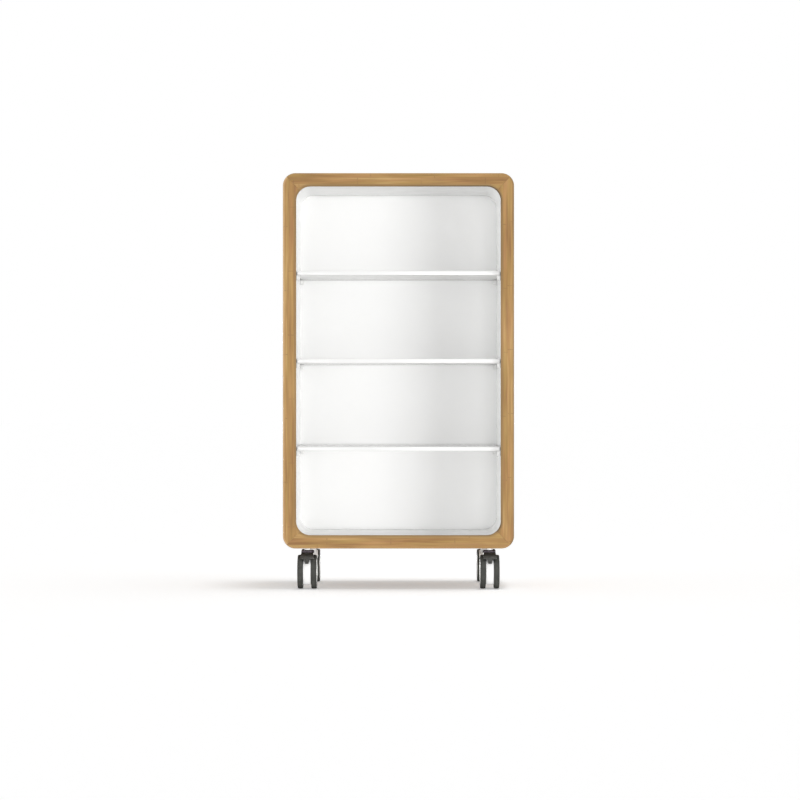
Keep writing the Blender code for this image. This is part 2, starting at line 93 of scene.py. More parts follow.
class Wire:
    """One shader value, whose operators add Math nodes to its tree."""

    def __init__(self, graph: "Graph", socket: NodeSocket) -> None:
        """Keep the socket that carries the value and the graph that it belongs to."""
        self.graph = graph
        self.socket = socket

    def math(self, operation: str, other: Value = 0.0, swapped: bool = False) -> "Wire":
        """This value and another through a Math node, the other one first if swapped."""
        pair = (other, self) if swapped else (self, other)
        return self.graph.add("ShaderNodeMath", {"operation": operation}, dict(enumerate(pair)))

    def __add__(self, other: Value) -> "Wire":
        """Sum of two values."""
        return self.math("ADD", other)

    def __sub__(self, other: Value) -> "Wire":
        """Difference of two values."""
        return self.math("SUBTRACT", other)

    def __rsub__(self, other: Value) -> "Wire":
        """Difference with the number first."""
        return self.math("SUBTRACT", other, True)

    def __mul__(self, other: Value) -> "Wire":
        """Product of two values."""
        return self.math("MULTIPLY", other)

    def __truediv__(self, other: Value) -> "Wire":
        """Quotient of two values."""
        return self.math("DIVIDE", other)

    def __rtruediv__(self, other: Value) -> "Wire":
        """Quotient with the number first."""
        return self.math("DIVIDE", other, True)

    __radd__ = __add__
    __rmul__ = __mul__


class Graph:
    """A node tree that is written as sums of wires."""

    def __init__(self, tree: NodeTree) -> None:
        """Keep the tree that the nodes go into."""
        self.tree = tree

    def feed(self, socket: NodeSocket, value: Any) -> None:
        """Give a socket its value.

        Args:
            socket: A node's input.
            value: A wire to link, or the value to set.
        """
        if isinstance(value, Wire):
            self.tree.links.new(value.socket, socket)
        else:
            socket.default_value = value

    def add(
        self,
        kind: str,
        settings: Optional[dict[str, Any]] = None,
        inputs: Optional[dict[Union[str, int], Any]] = None,
        output: Union[str, int] = 0,
    ) -> Wire:
        """Add any node.

        Args:
            kind: The node's type.
            settings: Properties of the node, set before its sockets.
            inputs: Values or wires by socket.
            output: The socket that the wire comes from.

        Returns:
            A wire from the node's output.
        """
        node = self.tree.nodes.new(kind)
        for key, value in (settings or {}).items():
            setattr(node, key, value)
        for key, value in (inputs or {}).items():
            self.feed(node.inputs[key], value)
        return Wire(self, node.outputs[output])

    def place(self) -> Spot:
        """Read the shaded point's Object coordinates.

        Returns:
            Its x, y and z.
        """
        spot = self.add("ShaderNodeTexCoord", output="Object")
        parts = self.add("ShaderNodeSeparateXYZ", None, {0: spot}).socket.node.outputs
        x, y, z = (Wire(self, part) for part in parts)
        return x, y, z

    def vector(self, x: Value, y: Value, z: Value) -> Wire:
        """A vector from its three parts."""
        return self.add("ShaderNodeCombineXYZ", None, {0: x, 1: y, 2: z})

    def noise(self, vector: Wire, scale: float = 1.0, detail: float = 2.0, roughness: float = 0.5) -> Wire:
        """Noise from 0 to 1: its waves for each unit, its octaves and the share that each octave keeps."""
        inputs = {"Vector": vector, "Scale": scale, "Detail": detail, "Roughness": roughness}
        return self.add("ShaderNodeTexNoise", {"noise_dimensions": "3D"}, inputs)

    def stretched(
        self, spot: Spot, waves: Triple, detail: float = 2.0, roughness: float = 0.5, shift: Value = 0.0
    ) -> Wire:
        """Noise with its own waves for each metre on each axis, shifted along the first."""
        x, y, z = (part * count for part, count in zip(spot, waves))
        return self.noise(self.vector(x + shift, y, z), 1.0, detail, roughness)

    def chance(self, key: Wire) -> Wire:
        """A random number between 0 and 1 that stays the same for the same key."""
        return self.add("ShaderNodeTexWhiteNoise", {"noise_dimensions": "1D"}, {"W": key})

    def wear(self) -> Wire:
        """The mesh's own edge value: wear on most pieces, painted edge shade and highlight on the bamboo boards."""
        return self.add("ShaderNodeAttribute", {"attribute_name": WEAR}, None, "Fac")

    def seen(self) -> Wire:
        """1 for a ray from the camera and 0 for any other."""
        return self.add("ShaderNodeLightPath", output="Is Camera Ray")

    def band(self, value: Wire, low: float, high: float, bottom: float = 0.0, top: float = 1.0) -> Wire:
        """Ease a value from the range low to high into bottom to top, held at both ends."""
        inputs = {"Value": value, "From Min": low, "From Max": high, "To Min": bottom, "To Max": top}
        return self.add("ShaderNodeMapRange", {"interpolation_type": "SMOOTHSTEP"}, inputs)

    def blend(self, share: Value, first: Paint, second: Paint, way: str = "MIX") -> Wire:
        """Mix two colours.

        Args:
            share: Part of the second colour, 0 to 1.
            first: A colour, written or wired.
            second: The other colour.
            way: The Mix node's blend type.

        Returns:
            The mixed colour.
        """
        pair = [colour if isinstance(colour, Wire) else (*colour, 1.0) for colour in (first, second)]
        settings = {"data_type": "RGBA", "blend_type": way, "clamp_result": False}
        return self.add("ShaderNodeMix", settings, {0: share, 6: pair[0], 7: pair[1]}, 2)

    def shaded(self, colour: Paint, shade: Wire) -> Wire:
        """A colour times a factor."""
        return self.blend(1.0, colour, self.vector(shade, shade, shade), "MULTIPLY")

    def ramp(self, value: Wire, stops: tuple[tuple[float, Colour], ...]) -> Wire:
        """Turn a value into a colour that runs through several stops.

        Args:
            value: The value.
            stops: Place and colour of each stop, in rising order.

        Returns:
            The colour.
        """
        wire = self.add("ShaderNodeValToRGB", None, {0: value})
        elements = wire.socket.node.color_ramp.elements
        for _ in stops[2:]:
            elements.new(1.0)
        for element, (spot, colour) in zip(elements, stops):
            element.position = spot
            element.color = (*colour, 1.0)
        return wire

    def bump(self, height: Wire, depth: float, strength: float) -> Wire:
        """A normal tilted by a height whose 1 is so many metres, with the share of the tilt that is kept."""
        return self.add("ShaderNodeBump", None, {"Height": height, "Distance": depth, "Strength": strength})

    def surface(self, **sockets: Any) -> None:
        """Set the sockets of the tree's Principled shader, named with _ for each space."""
        for key, value in sockets.items():
            self.feed(self.tree.nodes["Principled BSDF"].inputs[key.replace("_", " ")], value)


@dataclass(frozen=True)
class Finish:
    """What every finish of the scene shares."""

    name: str

    def material(self) -> Material:
        """Make the finish as a Blender material.

        Returns:
            The material.
        """
        material = bpy.data.materials.new(self.name)
        material.use_nodes = True
        self.paint(Graph(material.node_tree))
        return material

    def paint(self, graph: Graph) -> None:
        """Write the finish into a node tree."""
        raise NotImplementedError


@dataclass(frozen=True)
class Bamboo(Finish):
    """Laminated bamboo under a satin lacquer: glued strips, long fibres and dark node marks.

    Waves are for each metre along the grain, across it and deep; shares are parts of a tone or a colour.
    """

    grain: Grain
    seed: float
    tint: float
    layer_width: float = 0.0245
    lane_width: float = 0.020
    lane_shift: float = 0.37
    strip_keys: Pair = (12.7, 5.3)
    patch_waves: Triple = (4.0, 38.0, 38.0)
    streak_waves: Triple = (5.5, 150.0, 150.0)
    fibre_waves: Triple = (15.0, 1300.0, 1300.0)
    hue_waves: Triple = (5.0, 60.0, 60.0)
    patch_shift: float = 7.0
    streak_shift: float = 3.0
    hue_shift: float = 11.0
    hue_depth: float = 0.05
    tone_share: float = 0.30
    patch_share: float = 1.5
    streak_share: float = 1.25
    tones: tuple[tuple[float, Colour], ...] = (
        (0.05, (0.278, 0.139, 0.041)),
        (0.38, (0.374, 0.206, 0.062)),
        (0.62, (0.433, 0.251, 0.079)),
        (0.95, (0.556, 0.349, 0.135)),
    )
    pink: Colour = (0.470, 0.230, 0.092)
    pink_share: float = 0.36
    green: Colour = (0.375, 0.265, 0.063)
    green_share: float = 0.26
    node_spacing: float = 0.235
    node_half: float = 0.0028
    node_key: float = 9.1
    node_share: float = 0.62
    node_brown: Colour = (0.190, 0.098, 0.042)
    glue_half: float = 0.0005
    glue_share: float = 0.60
    glue_brown: Colour = (0.250, 0.145, 0.062)
    # Painted shade on the rounded edges, where the edge value runs from 0 to 1.
    edge_shade_brown: Colour = (0.262, 0.160, 0.062)
    # Painted shadow line beside the lining, with the sides and heights it spans.
    shadow_line_brown: Colour = (0.060, 0.040, 0.020)
    shadow_line_sides: Pair = (-0.25, 0.30)
    shadow_line_top: Pair = (1.36, 1.46)
    shadow_line_foot: Pair = (0.30, 0.20)
    # Painted highlight colour for the rounded edges whose edge value is below 0.
    worn: Colour = (0.640, 0.430, 0.235)
    patch_band: Pair = (0.34, 0.66)
    relief: Pair = (0.0004, 0.22)
    roughness: Pair = (0.42, 0.58)
    coat: Pair = (0.03, 0.09)
    coat_roughness: float = 0.30
    specular: float = 0.35

    def paint(self, graph: Graph) -> None:
        """Write strips, fibres, nodes, glue lines, painted shade and highlights on the edges and a painted shadow
        line beside the lining.

        Args:
            graph: The material's tree.
        """
        x, y, z = graph.place()
        along, across = (x, z) if self.grain is Grain.ALONG_X else (z, x)
        layers = across / self.layer_width + self.seed
        layer = layers.math("FLOOR")
        lanes = y / self.lane_width + layer * self.lane_shift + self.seed
        strip = layer * self.strip_keys[0] + lanes.math("FLOOR") * self.strip_keys[1] + self.seed
        tone = graph.chance(strip)

        spot = (along, across, y)
        patch = graph.stretched(spot, self.patch_waves, shift=tone * self.patch_shift)
        streak = graph.stretched(spot, self.streak_waves, 3.0, shift=tone * self.streak_shift)
        fibre = graph.stretched(spot, self.fibre_waves)
        hue = graph.stretched((along, across, y + self.hue_depth), self.hue_waves, shift=tone * self.hue_shift)

        mixed = (tone - 0.5) * self.tone_share + (patch - 0.5) * self.patch_share
        colour = graph.ramp(mixed + (streak - 0.5) * self.streak_share + 0.5, self.tones)
        colour = graph.blend(graph.band(hue, 0.50, 0.66, 0.0, self.pink_share), colour, self.pink)
        colour = graph.blend(graph.band(hue, 0.48, 0.32, 0.0, self.green_share), colour, self.green)
        colour = graph.shaded(colour, graph.band(fibre, *BULK, 0.86, 1.08) * self.tint)

        turn = (along / self.node_spacing + graph.chance(strip + self.node_key)).math("FRACT")
        apart = (turn - 0.5).math("ABSOLUTE") * self.node_spacing
        node = graph.band(apart, self.node_half, 0.0) * graph.band(streak, 0.40, 0.62)
        colour = graph.blend(node * self.node_share, colour, self.node_brown)

        lines = [
            graph.band((count.math("FRACT") - 0.5).math("ABSOLUTE"), 0.5 - self.glue_half / width, 0.5)
            for count, width in ((layers, self.layer_width), (lanes, self.lane_width))
        ]
        glue = lines[0].math("MAXIMUM", lines[1])
        colour = graph.blend(glue * self.glue_share, colour, self.glue_brown)

        wear = graph.wear()
        # Painted shade on the rounded edges, where the edge value runs from 0 to 1.
        edge = graph.band(wear, 0.0, 1.0) * graph.band(patch, *self.patch_band, 1.0, 0.65)
        colour = graph.blend(edge, colour, self.edge_shade_brown)
        # Painted shadow line beside the lining where the edge value runs from 1 to 2, towards the right and near
        # the top and bottom.
        ends = graph.band(z, *self.shadow_line_top).math("MAXIMUM", graph.band(z, *self.shadow_line_foot))
        shadow = graph.band(wear, 1.0, 2.0) * graph.band(x, *self.shadow_line_sides) * ends
        colour = graph.blend(shadow, colour, self.shadow_line_brown)
        # Painted highlight on the rounded edges where the edge value is below 0.
        rub = (0.0 - wear).math("MAXIMUM", 0.0) * graph.band(patch, *self.patch_band, 0.50, 0.80)

        height = fibre * 0.45 + streak * 0.55 - glue * 0.5 - node * 0.3
        graph.surface(
            Base_Color=graph.blend(rub, colour, self.worn),
            Roughness=graph.band(streak, 0.2, 0.8, *self.roughness) + edge * 0.1,
            Normal=graph.bump(height, *self.relief),
            Coat_Weight=graph.band(patch, 0.3, 0.7, *self.coat),
            Coat_Roughness=self.coat_roughness,
            Specular_IOR_Level=self.specular,
        )


@dataclass(frozen=True)
class Moulded(Finish):
    """Coated board or moulded plastic: cloudy tone, fine skin texture, handling marks and rubbed edges."""

    colour: Colour
    worn: Colour
    cloud: float = 0.03
    cloud_scale: float = 9.0
    skin_scale: float = 1400.0
    relief: Pair = (0.00006, 0.25)
    roughness: Pair = (0.34, 0.48)
    rubbed: float = 0.4
    scuffed: float = 0.10
    mark_waves: Triple = (12.0, 60.0, 160.0)
    mark_dull: float = 0.10
    mark_relief: float = 0.3

    def paint(self, graph: Graph) -> None:
        """Write clouds, skin, marks and rubbed edges.

        Args:
            graph: The material's tree.
        """
        place = graph.place()
        spot = graph.vector(*place)
        cloud = graph.noise(spot, self.cloud_scale, 3.0)
        skin = graph.noise(spot, self.skin_scale, 2.0)
        mark = graph.band(graph.stretched(place, self.mark_waves, 4.0, 0.6), 0.60, 0.78)

        half = self.cloud * 0.5
        shade = graph.band(cloud, *BULK, 1.0 - self.cloud, 1.0 + self.cloud)
        colour = graph.shaded(self.colour, shade * graph.band(skin, 0.2, 0.8, 1.0 - half, 1.0 + half))
        rub = graph.wear() * graph.band(cloud, 0.35, 0.65, 0.25, 1.0)
        colour = graph.blend(rub * self.rubbed, colour, self.worn)
        graph.surface(
            Base_Color=graph.blend(mark * self.scuffed, colour, self.worn),
            Roughness=graph.band(cloud, *BULK, *self.roughness) + mark * self.mark_dull,
            Normal=graph.bump(skin - mark * self.mark_relief, *self.relief),
        )


@dataclass(frozen=True)
class Plated(Finish):
    """Plated or blackened metal: drawn lines round the piece, dull spots and bright rubbed edges."""

    colour: Colour
    worn: Colour
    dull: Colour
    roughness: Pair
    rubbed: float
    metallic: float = 1.0
    relief: Pair = (0.00005, 0.3)
    line_waves: Triple = (40.0, 40.0, 2600.0)
    spot_scale: float = 170.0

    def paint(self, graph: Graph) -> None:
        """Write drawn lines, dull spots and rubbed edges.

        Args:
            graph: The material's tree.
        """
        place = graph.place()
        drawn = graph.stretched(place, self.line_waves, 3.0)
        spots = graph.noise(graph.vector(*place), self.spot_scale, 4.0, 0.6)
        dull = graph.band(spots, 0.50, 0.70)
        colour = graph.blend(graph.band(drawn, 0.3, 0.7, 0.0, 0.25), self.colour, self.worn)
        colour = graph.blend(dull * 0.6, colour, self.dull)
        rub = graph.wear() * graph.band(spots, 0.65, 0.40, 0.3, 1.0)
        graph.surface(
            Base_Color=graph.blend(rub * self.rubbed, colour, self.worn),
            Roughness=graph.band(drawn, *BULK, *self.roughness) + dull * 0.15,
            Metallic=graph.band(dull, 0.0, 1.0, self.metallic, self.metallic * 0.8),
            Normal=graph.bump(drawn * 0.5 + spots * 0.5, *self.relief),
        )


@dataclass(frozen=True)
class Rubber(Finish):
    """Hard grey rubber: a matt skin, road dust in the tread and scuffs along it."""

    colour: Colour
    dust: Colour
    scuff: Colour
    cloud_scale: float = 55.0
    skin_scale: float = 1900.0
    line_waves: Triple = (900.0, 30.0, 30.0)
    relief: Pair = (0.00012, 0.35)
    roughness: Pair = (0.58, 0.76)
    specular: float = 0.35

    def paint(self, graph: Graph) -> None:
        """Write the matt skin, dust and scuffs.

        Args:
            graph: The material's tree.
        """
        place = graph.place()
        spot = graph.vector(*place)
        cloud = graph.noise(spot, self.cloud_scale, 4.0, 0.6)
        skin = graph.noise(spot, self.skin_scale, 3.0)
        lines = graph.stretched(place, self.line_waves, 3.0)
        wear = graph.wear()
        colour = graph.shaded(self.colour, graph.band(skin, *BULK, 0.86, 1.12))
        dusty = wear * graph.band(cloud, 0.36, 0.66, 0.10, 0.55)
        colour = graph.blend(dusty, colour, self.dust)
        scuff = wear * graph.band(lines, 0.60, 0.74)
        graph.surface(
            Base_Color=graph.blend(scuff * 0.35, colour, self.scuff),
            Roughness=graph.band(cloud, *BULK, *self.roughness) + dusty * 0.15,
            Normal=graph.bump(skin * 0.7 + lines * 0.3, *self.relief),
            Specular_IOR_Level=self.specular,
        )


@dataclass(frozen=True)
class Backdrop(Finish):
    """A matt floor, pale grey to the object and lifted to white for the camera alone."""

    grey: float = 0.90
    lift: float = 0.362
    roughness: float = 0.9

    def paint(self, graph: Graph) -> None:
        """Write the floor's two looks.

        Args:
            graph: The material's tree.
        """
        seen = graph.seen()
        graph.surface(
            Base_Color=graph.blend(seen, (self.grey,) * 3, WHITE),
            Roughness=self.roughness,
            Specular_IOR_Level=0.0,
            Emission_Color=graph.vector(seen, seen, seen),
            Emission_Strength=self.lift,
        )


@dataclass
class Skin:
    """A closed skin over a grid of points, whose rows are loops, and an edge value that spreads over the grid:
    wear, and on the bamboo boards painted edge shade.
    """

    points: np.ndarray
    wear: Tone = 0.0
    ring: bool = False
    crease: float = CREASE

    @classmethod
    def turned(cls, profile: np.ndarray, axis: Axis, sides: int, ring: bool = False, wear: Tone = 0.0) -> "Skin":
        """Spin a profile: the point at (along, radius) goes round as (along, radius cos t, radius sin t).

        Args:
            profile: Rows of (along, radius).
            axis: The axis to spin round.
            sides: Points in each loop.
            ring: True when the profile is closed.
            wear: Wear of each profile row, or of all.

        Returns:
            The spun skin.
        """
        turn = around(sides)
        along = np.repeat(profile[:, :1], sides, axis=1)
        first, second = profile[:, 1:] * np.cos(turn), profile[:, 1:] * np.sin(turn)
        order = (along, first, second) if axis is Axis.X else (first, second, along)
        return cls(np.stack(order, axis=-1), np.asarray(wear)[..., None], ring)

    def moved(self, offset: Triple, turn: float = 0.0) -> "Skin":
        """The skin turned about Z and then carried by an offset."""
        return Skin(carried(self.points, offset, turn), self.wear, self.ring, self.crease)

    def mesh(self, name: str) -> Mesh:
        """Make the mesh: quads between rows, and caps at both ends unless the rows close in a ring.

        Args:
            name: The mesh's name.

        Returns:
            The mesh, faces outwards.
        """
        rows, columns = self.points.shape[:2]
        index = np.arange(rows * columns).reshape(rows, columns)
        grid = np.concatenate((index, index[:, :1]), axis=1)
        if self.ring:
            grid = np.concatenate((grid, grid[:1]), axis=0)
        quads = np.stack((grid[:-1, :-1], grid[:-1, 1:], grid[1:, 1:], grid[1:, :-1]), axis=-1)
        faces = quads.reshape(-1, 4).tolist()
        if not self.ring:
            faces += [index[0].tolist(), index[-1].tolist()]
        mesh = bpy.data.meshes.new(name)
        mesh.from_pydata(self.points.reshape(-1, 3).tolist(), [], faces)
        layer = mesh.attributes.new(WEAR, "FLOAT", "POINT")
        worn = np.broadcast_to(self.wear, (rows, columns)).astype(np.float32)
        layer.data.foreach_set("value", worn.ravel())
        return outwards(mesh, self.crease)


def outwards(mesh: Mesh, crease: float) -> Mesh:
    """Clear a mesh of slivers, turn its faces outwards and smooth all but its sharp edges.

    Args:
        mesh: A closed mesh.
        crease: Edges sharper than this many degrees stay sharp.

    Returns:
        The same mesh.
    """
    bm = bmesh.new()
    bm.from_mesh(mesh)
    bmesh.ops.remove_doubles(bm, verts=bm.verts[:], dist=SLIVER)
    bmesh.ops.dissolve_degenerate(bm, dist=SLIVER, edges=bm.edges[:])
    bmesh.ops.recalc_face_normals(bm, faces=bm.faces[:])
    bm.to_mesh(mesh)
    bm.free()
    mesh.shade_smooth()
    mesh.set_sharp_from_angle(angle=math.radians(crease))
    return mesh


def linked(name: str, data: Any) -> Object:
    """Make an object and link it into the scene.

    Args:
        name: The object's name.
        data: Its mesh, lamp or camera.

    Returns:
        The object.
    """
    thing = bpy.data.objects.new(name, data)
    bpy.context.scene.collection.objects.link(thing)
    return thing


def carved(base: Mesh, tool: Mesh, carve: Carve) -> Mesh:
    """Join one mesh to another or cut it away.

    Args:
        base: The mesh that stays.
        tool: The mesh that is joined or cut away.
        carve: Which of the two.

    Returns:
        The resulting mesh.
    """
    holders = [linked(mesh.name, mesh) for mesh in (base, tool)]
    boolean = holders[0].modifiers.new("carve", "BOOLEAN")
    boolean.operation = carve.value
    boolean.object = holders[1]
    bpy.context.view_layer.update()
    settled = holders[0].evaluated_get(bpy.context.evaluated_depsgraph_get())
    result = bpy.data.meshes.new_from_object(settled)
    for holder in holders:
        bpy.data.objects.remove(holder)
    return outwards(result, CREASE)


def install(node: str, mesh: Mesh, material: Material, body: str) -> None:
    """Stand a finished form in for a CAD node.

    Args:
        node: The CAD node that the form takes the place of.
        mesh: The form's mesh, in place.
        material: Its finish.
        body: The CAD body that it rides on.
    """
    mesh.materials.clear()
    mesh.materials.append(material)
    piece = linked(f"{node}_form", mesh)
    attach(piece, body)
    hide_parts(node)
    LOG.info("%s: %d faces on %s", piece.name, len(mesh.polygons), body)


def around(sides: int) -> np.ndarray:
    """Angles of a full turn, its end left out."""
    return np.arange(sides) * (math.tau / sides)


def quarter(steps: int) -> np.ndarray:
    """Angles of a quarter turn."""
    return np.linspace(0.0, QUARTER, steps + 1)


def bend(centre: Pair, radius: float, first: float, last: float, steps: int) -> np.ndarray:
    """Points of an arc: centre plus radius times (cos t, sin t) for t from first to last."""
    t = np.linspace(first, last, steps + 1)
    return np.stack((centre[0] + radius * np.cos(t), centre[1] + radius * np.sin(t)), axis=-1)


def carried(points: np.ndarray, offset: Triple, turn: float) -> np.ndarray:
    """Turn points about Z, to (x cos t - y sin t, x sin t + y cos t, z), and then move them.

    Args:
        points: Points in rows.
        offset: How far they go.
        turn: The angle t.

    Returns:
        The points in their new place.
    """
    c, s = math.cos(turn), math.sin(turn)
    matrix = np.array(((c, s, 0.0), (-s, c, 0.0), (0.0, 0.0, 1.0)), points.dtype)
    return points @ matrix + np.array(offset, points.dtype)


def stood(x: np.ndarray, loops: np.ndarray) -> np.ndarray:
    """Points of flat loops, each at its own place along X."""
    return np.concatenate((np.broadcast_to(x[:, None, None], (*loops.shape[:2], 1)), loops), axis=-1)


def rounded_rectangle(half_width: float, half_height: float, radius: float, steps: int) -> np.ndarray:
    """Loop of a rectangle with round corners: one quarter arc about each corner's centre.

    Args:
        half_width: Half its width.
        half_height: Half its height.
        radius: Corner radius.
        steps: Spans in each corner.

    Returns:
        Rows of (across, up).
    """
    across, up = half_width - radius, half_height - radius
    corners = ((across, up), (-across, up), (-across, -up), (across, -up))
    turns = around(4)
    return np.concatenate([bend(spot, radius, t, t + QUARTER, steps) for spot, t in zip(corners, turns)])


def eased_ends(half: float, ease: float, steps: int) -> tuple[np.ndarray, np.ndarray, np.ndarray]:
    """Round a bar's ends by quarter arcs: a loop e (1 - cos t) from an end is drawn in by e (1 - sin t).

    Args:
        half: Half the bar's length along X.
        ease: The arcs' radius e.
        steps: Spans in each arc.

    Returns:
        Place, inset and wear of each loop.
    """
    t = quarter(steps)
    end, shrink = ease * (1.0 - np.cos(t)), ease * (1.0 - np.sin(t))
    rows = ((end - half, half - end[::-1]), (shrink, shrink[::-1]), (np.sin(2 * t), np.sin(2 * t[::-1])))
    place, inset, wear = (np.concatenate(row) for row in rows)
    return place, inset, wear


@dataclass
class Case:
    """Sizes of the case that its pieces share."""

    width: float = 0.850
    height: float = 1.380
    depth: float = 0.400
    foot: float = 0.150
    board: float = 0.049
    outer_radius: float = 0.046
    cove_radius: float = 0.052
    ease: float = 0.003
    front_lip: float = 0.007
    lining: float = 0.003
    back_margin: float = 0.025
    panel: float = 0.008
    groove: float = 0.010
    gap: float = 0.0003
    castor_inset: Pair = (0.089, 0.075)
    corner_steps: int = 14

    @property
    def front(self) -> float:
        """Depth of the front plane."""
        return -self.depth / 2

    @property
    def rear(self) -> float:
        """Depth of the rear plane."""
        return self.depth / 2

    @property
    def groove_front(self) -> float:
        """Depth of the groove's front wall."""
        return self.rear - self.back_margin

    @property
    def centre(self) -> float:
        """Height of the case's middle."""
        return self.foot + self.height / 2

    @property
    def opening(self) -> Pair:
        """Half width and half height of the opening."""
        return self.width / 2 - self.board, self.height / 2 - self.board

    def loop(self, growth: float, depth: float) -> np.ndarray:
        """The opening's outline grown by a distance, at one depth.

        Args:
            growth: How far it stands outside the opening.
            depth: Its place along Y.

        Returns:
            Rows of points.
        """
        sizes = (half + growth for half in (*self.opening, self.cove_radius))
        flat = rounded_rectangle(*sizes, 2 * self.corner_steps)
        return np.stack((flat[:, 0], np.full(len(flat), depth), flat[:, 1] + self.centre), axis=-1)


@dataclass
class Carcass:
    """Four mitred bamboo boards, rounded outside and coved inside.

    Each board's row has its node, turn about Y, grain, seed, tint and the painted shading of its outer and inner
    edges:
    above 0 is painted shade, below 0 is a painted highlight, and above 1 adds a painted shadow line beside the
    lining.
    """

    case: Case
    ease_steps: int = 6
    outer_fade: float = 0.0045
    inner_fade: float = 0.0085
    crease: float = 30.0
    # Each row's last two numbers are the painted shading of the outer and inner edges.
    boards: tuple[tuple[str, float, Grain, float, float, float, float], ...] = (
        ("top_board", 0.0, Grain.ALONG_X, 0.23, 0.92, -0.15, 1.6),
        ("right_side_board", QUARTER, Grain.ALONG_Z, 4.64, 0.99, 1.0, 1.6),
        ("bottom_board", math.pi, Grain.ALONG_X, 8.31, 0.97, -0.30, 1.2),
        ("left_side_board", -QUARTER, Grain.ALONG_Z, 12.61, 0.99, -1.0, 1.0),
    )

    def eased(self, fade: float) -> np.ndarray:
        """One rounded edge, from the side of the board round to its face.

        Args:
            fade: How far the edge's tone runs on over the face.

        Returns:
            Rows of (reach along the face, reach along the side), plain ends included.
        """
        t = quarter(self.ease_steps)
        ease = self.case.ease
        arc = np.stack((ease * (1.0 - np.cos(t)), ease * (1.0 - np.sin(t))), axis=-1)
        return np.concatenate((((0.0, ease + self.outer_fade),), arc, ((ease + fade, 0.0),)))

    def section(self, outer_edge_shading: float, inner_edge_shading: float) -> np.ndarray:
        """A board's section from the outer front edge round to the outer rear edge, groove included.

        Args:
            outer_edge_shading: Painted shade of the outer edges, a painted highlight where it is below 0.
            inner_edge_shading: Painted shade of the inner edges, with a painted shadow line where it is above 1.

        Returns:
            Rows of (inset, depth, wear).
        """
        case = self.case
        full, cut = case.board, case.board - case.groove
        seat = full - case.lining - case.gap
        lip, groove = case.front + case.front_lip, case.groove_front
        groove_rear = groove + case.panel + 2 * case.gap
        inside = ((full, lip), (seat, lip), (seat, groove), (cut, groove), (cut, groove_rear), (full, groove_rear))
        outer, inner = self.eased(self.outer_fade), self.eased(self.inner_fade)
        inner[0, 1] = (case.ease + case.front_lip) / 2
        inner[:, 0] = full - inner[:, 0]
        front, rear = (
            [np.column_stack((edge[:, 0], plane + sign * edge[:, 1])) for edge in (outer, inner)]
            for plane, sign in ((case.front, 1.0), (case.rear, -1.0))
        )
        points = np.concatenate((front[0], front[1][::-1], inside, rear[1], rear[0][::-1]))
        # Painted edge shade and highlight along the rounded edges, none in the groove.
        tone = np.concatenate(((0.0,), np.ones(self.ease_steps + 1), (0.0,)))
        outer_tone, inner_tone = tone * outer_edge_shading, tone * inner_edge_shading
        inner_tone[0] = inner_edge_shading
        plain = np.zeros(len(inside))
        wear = np.concatenate((outer_tone, inner_tone[::-1], plain, inner_tone, outer_tone[::-1]))
        return np.column_stack((points, wear))

    def board(self, half_length: float, half_span: float, turn: float, *wear: float) -> Skin:
        """One board from mitre to mitre.

        Each section point runs straight between two eighth turns about its own corner centre:
        (side c + r cos t, up + r sin t), c and up being the half sizes less the inset and r. The board is then
        turned about Y.

        Args:
            half_length: Half the length along the board's outside.
            half_span: Distance of the outside from the case's middle.
            turn: Angle about Y.
            *wear: Painted shade and highlight of the outer and inner edges.

        Returns:
            The board's skin.
        """
        case = self.case
        inset, depth, worn = self.section(*wear).T
        radius = np.where(inset < case.board / 2, case.outer_radius - inset, case.cove_radius + case.board - inset)
        trim = np.arcsin(case.gap / 2 / radius)
        steps = case.corner_steps + 1
        middle = np.full_like(trim, QUARTER)
        left = np.linspace(math.pi * 3 / 4 - trim, middle, steps)
        right = np.linspace(middle, math.pi / 4 + trim, steps)
        across, up = half_length - inset - radius, half_span - inset - radius
        x = np.concatenate((radius * np.cos(left) - across, radius * np.cos(right) + across))
        z = np.concatenate((radius * np.sin(left) + up, radius * np.sin(right) + up))
        c, s = math.cos(turn), math.sin(turn)
        y = np.broadcast_to(depth, x.shape)
        points = np.stack((x * c + z * s, y, z * c - x * s + case.centre), axis=-1)
        return Skin(points, worn, crease=self.crease)

    def build(self) -> None:
        """Make and dress the four boards."""
        half_width, half_height = self.case.width / 2, self.case.height / 2
        for node, turn, grain, seed, tint, *wear in self.boards:
            sizes = (half_width, half_height) if grain is Grain.ALONG_X else (half_height, half_width)
            material = Bamboo(f"bamboo_{node}", grain, seed, tint).material()
            install(node, self.board(*sizes, turn, *wear).mesh(node), material, CASE_BODY)


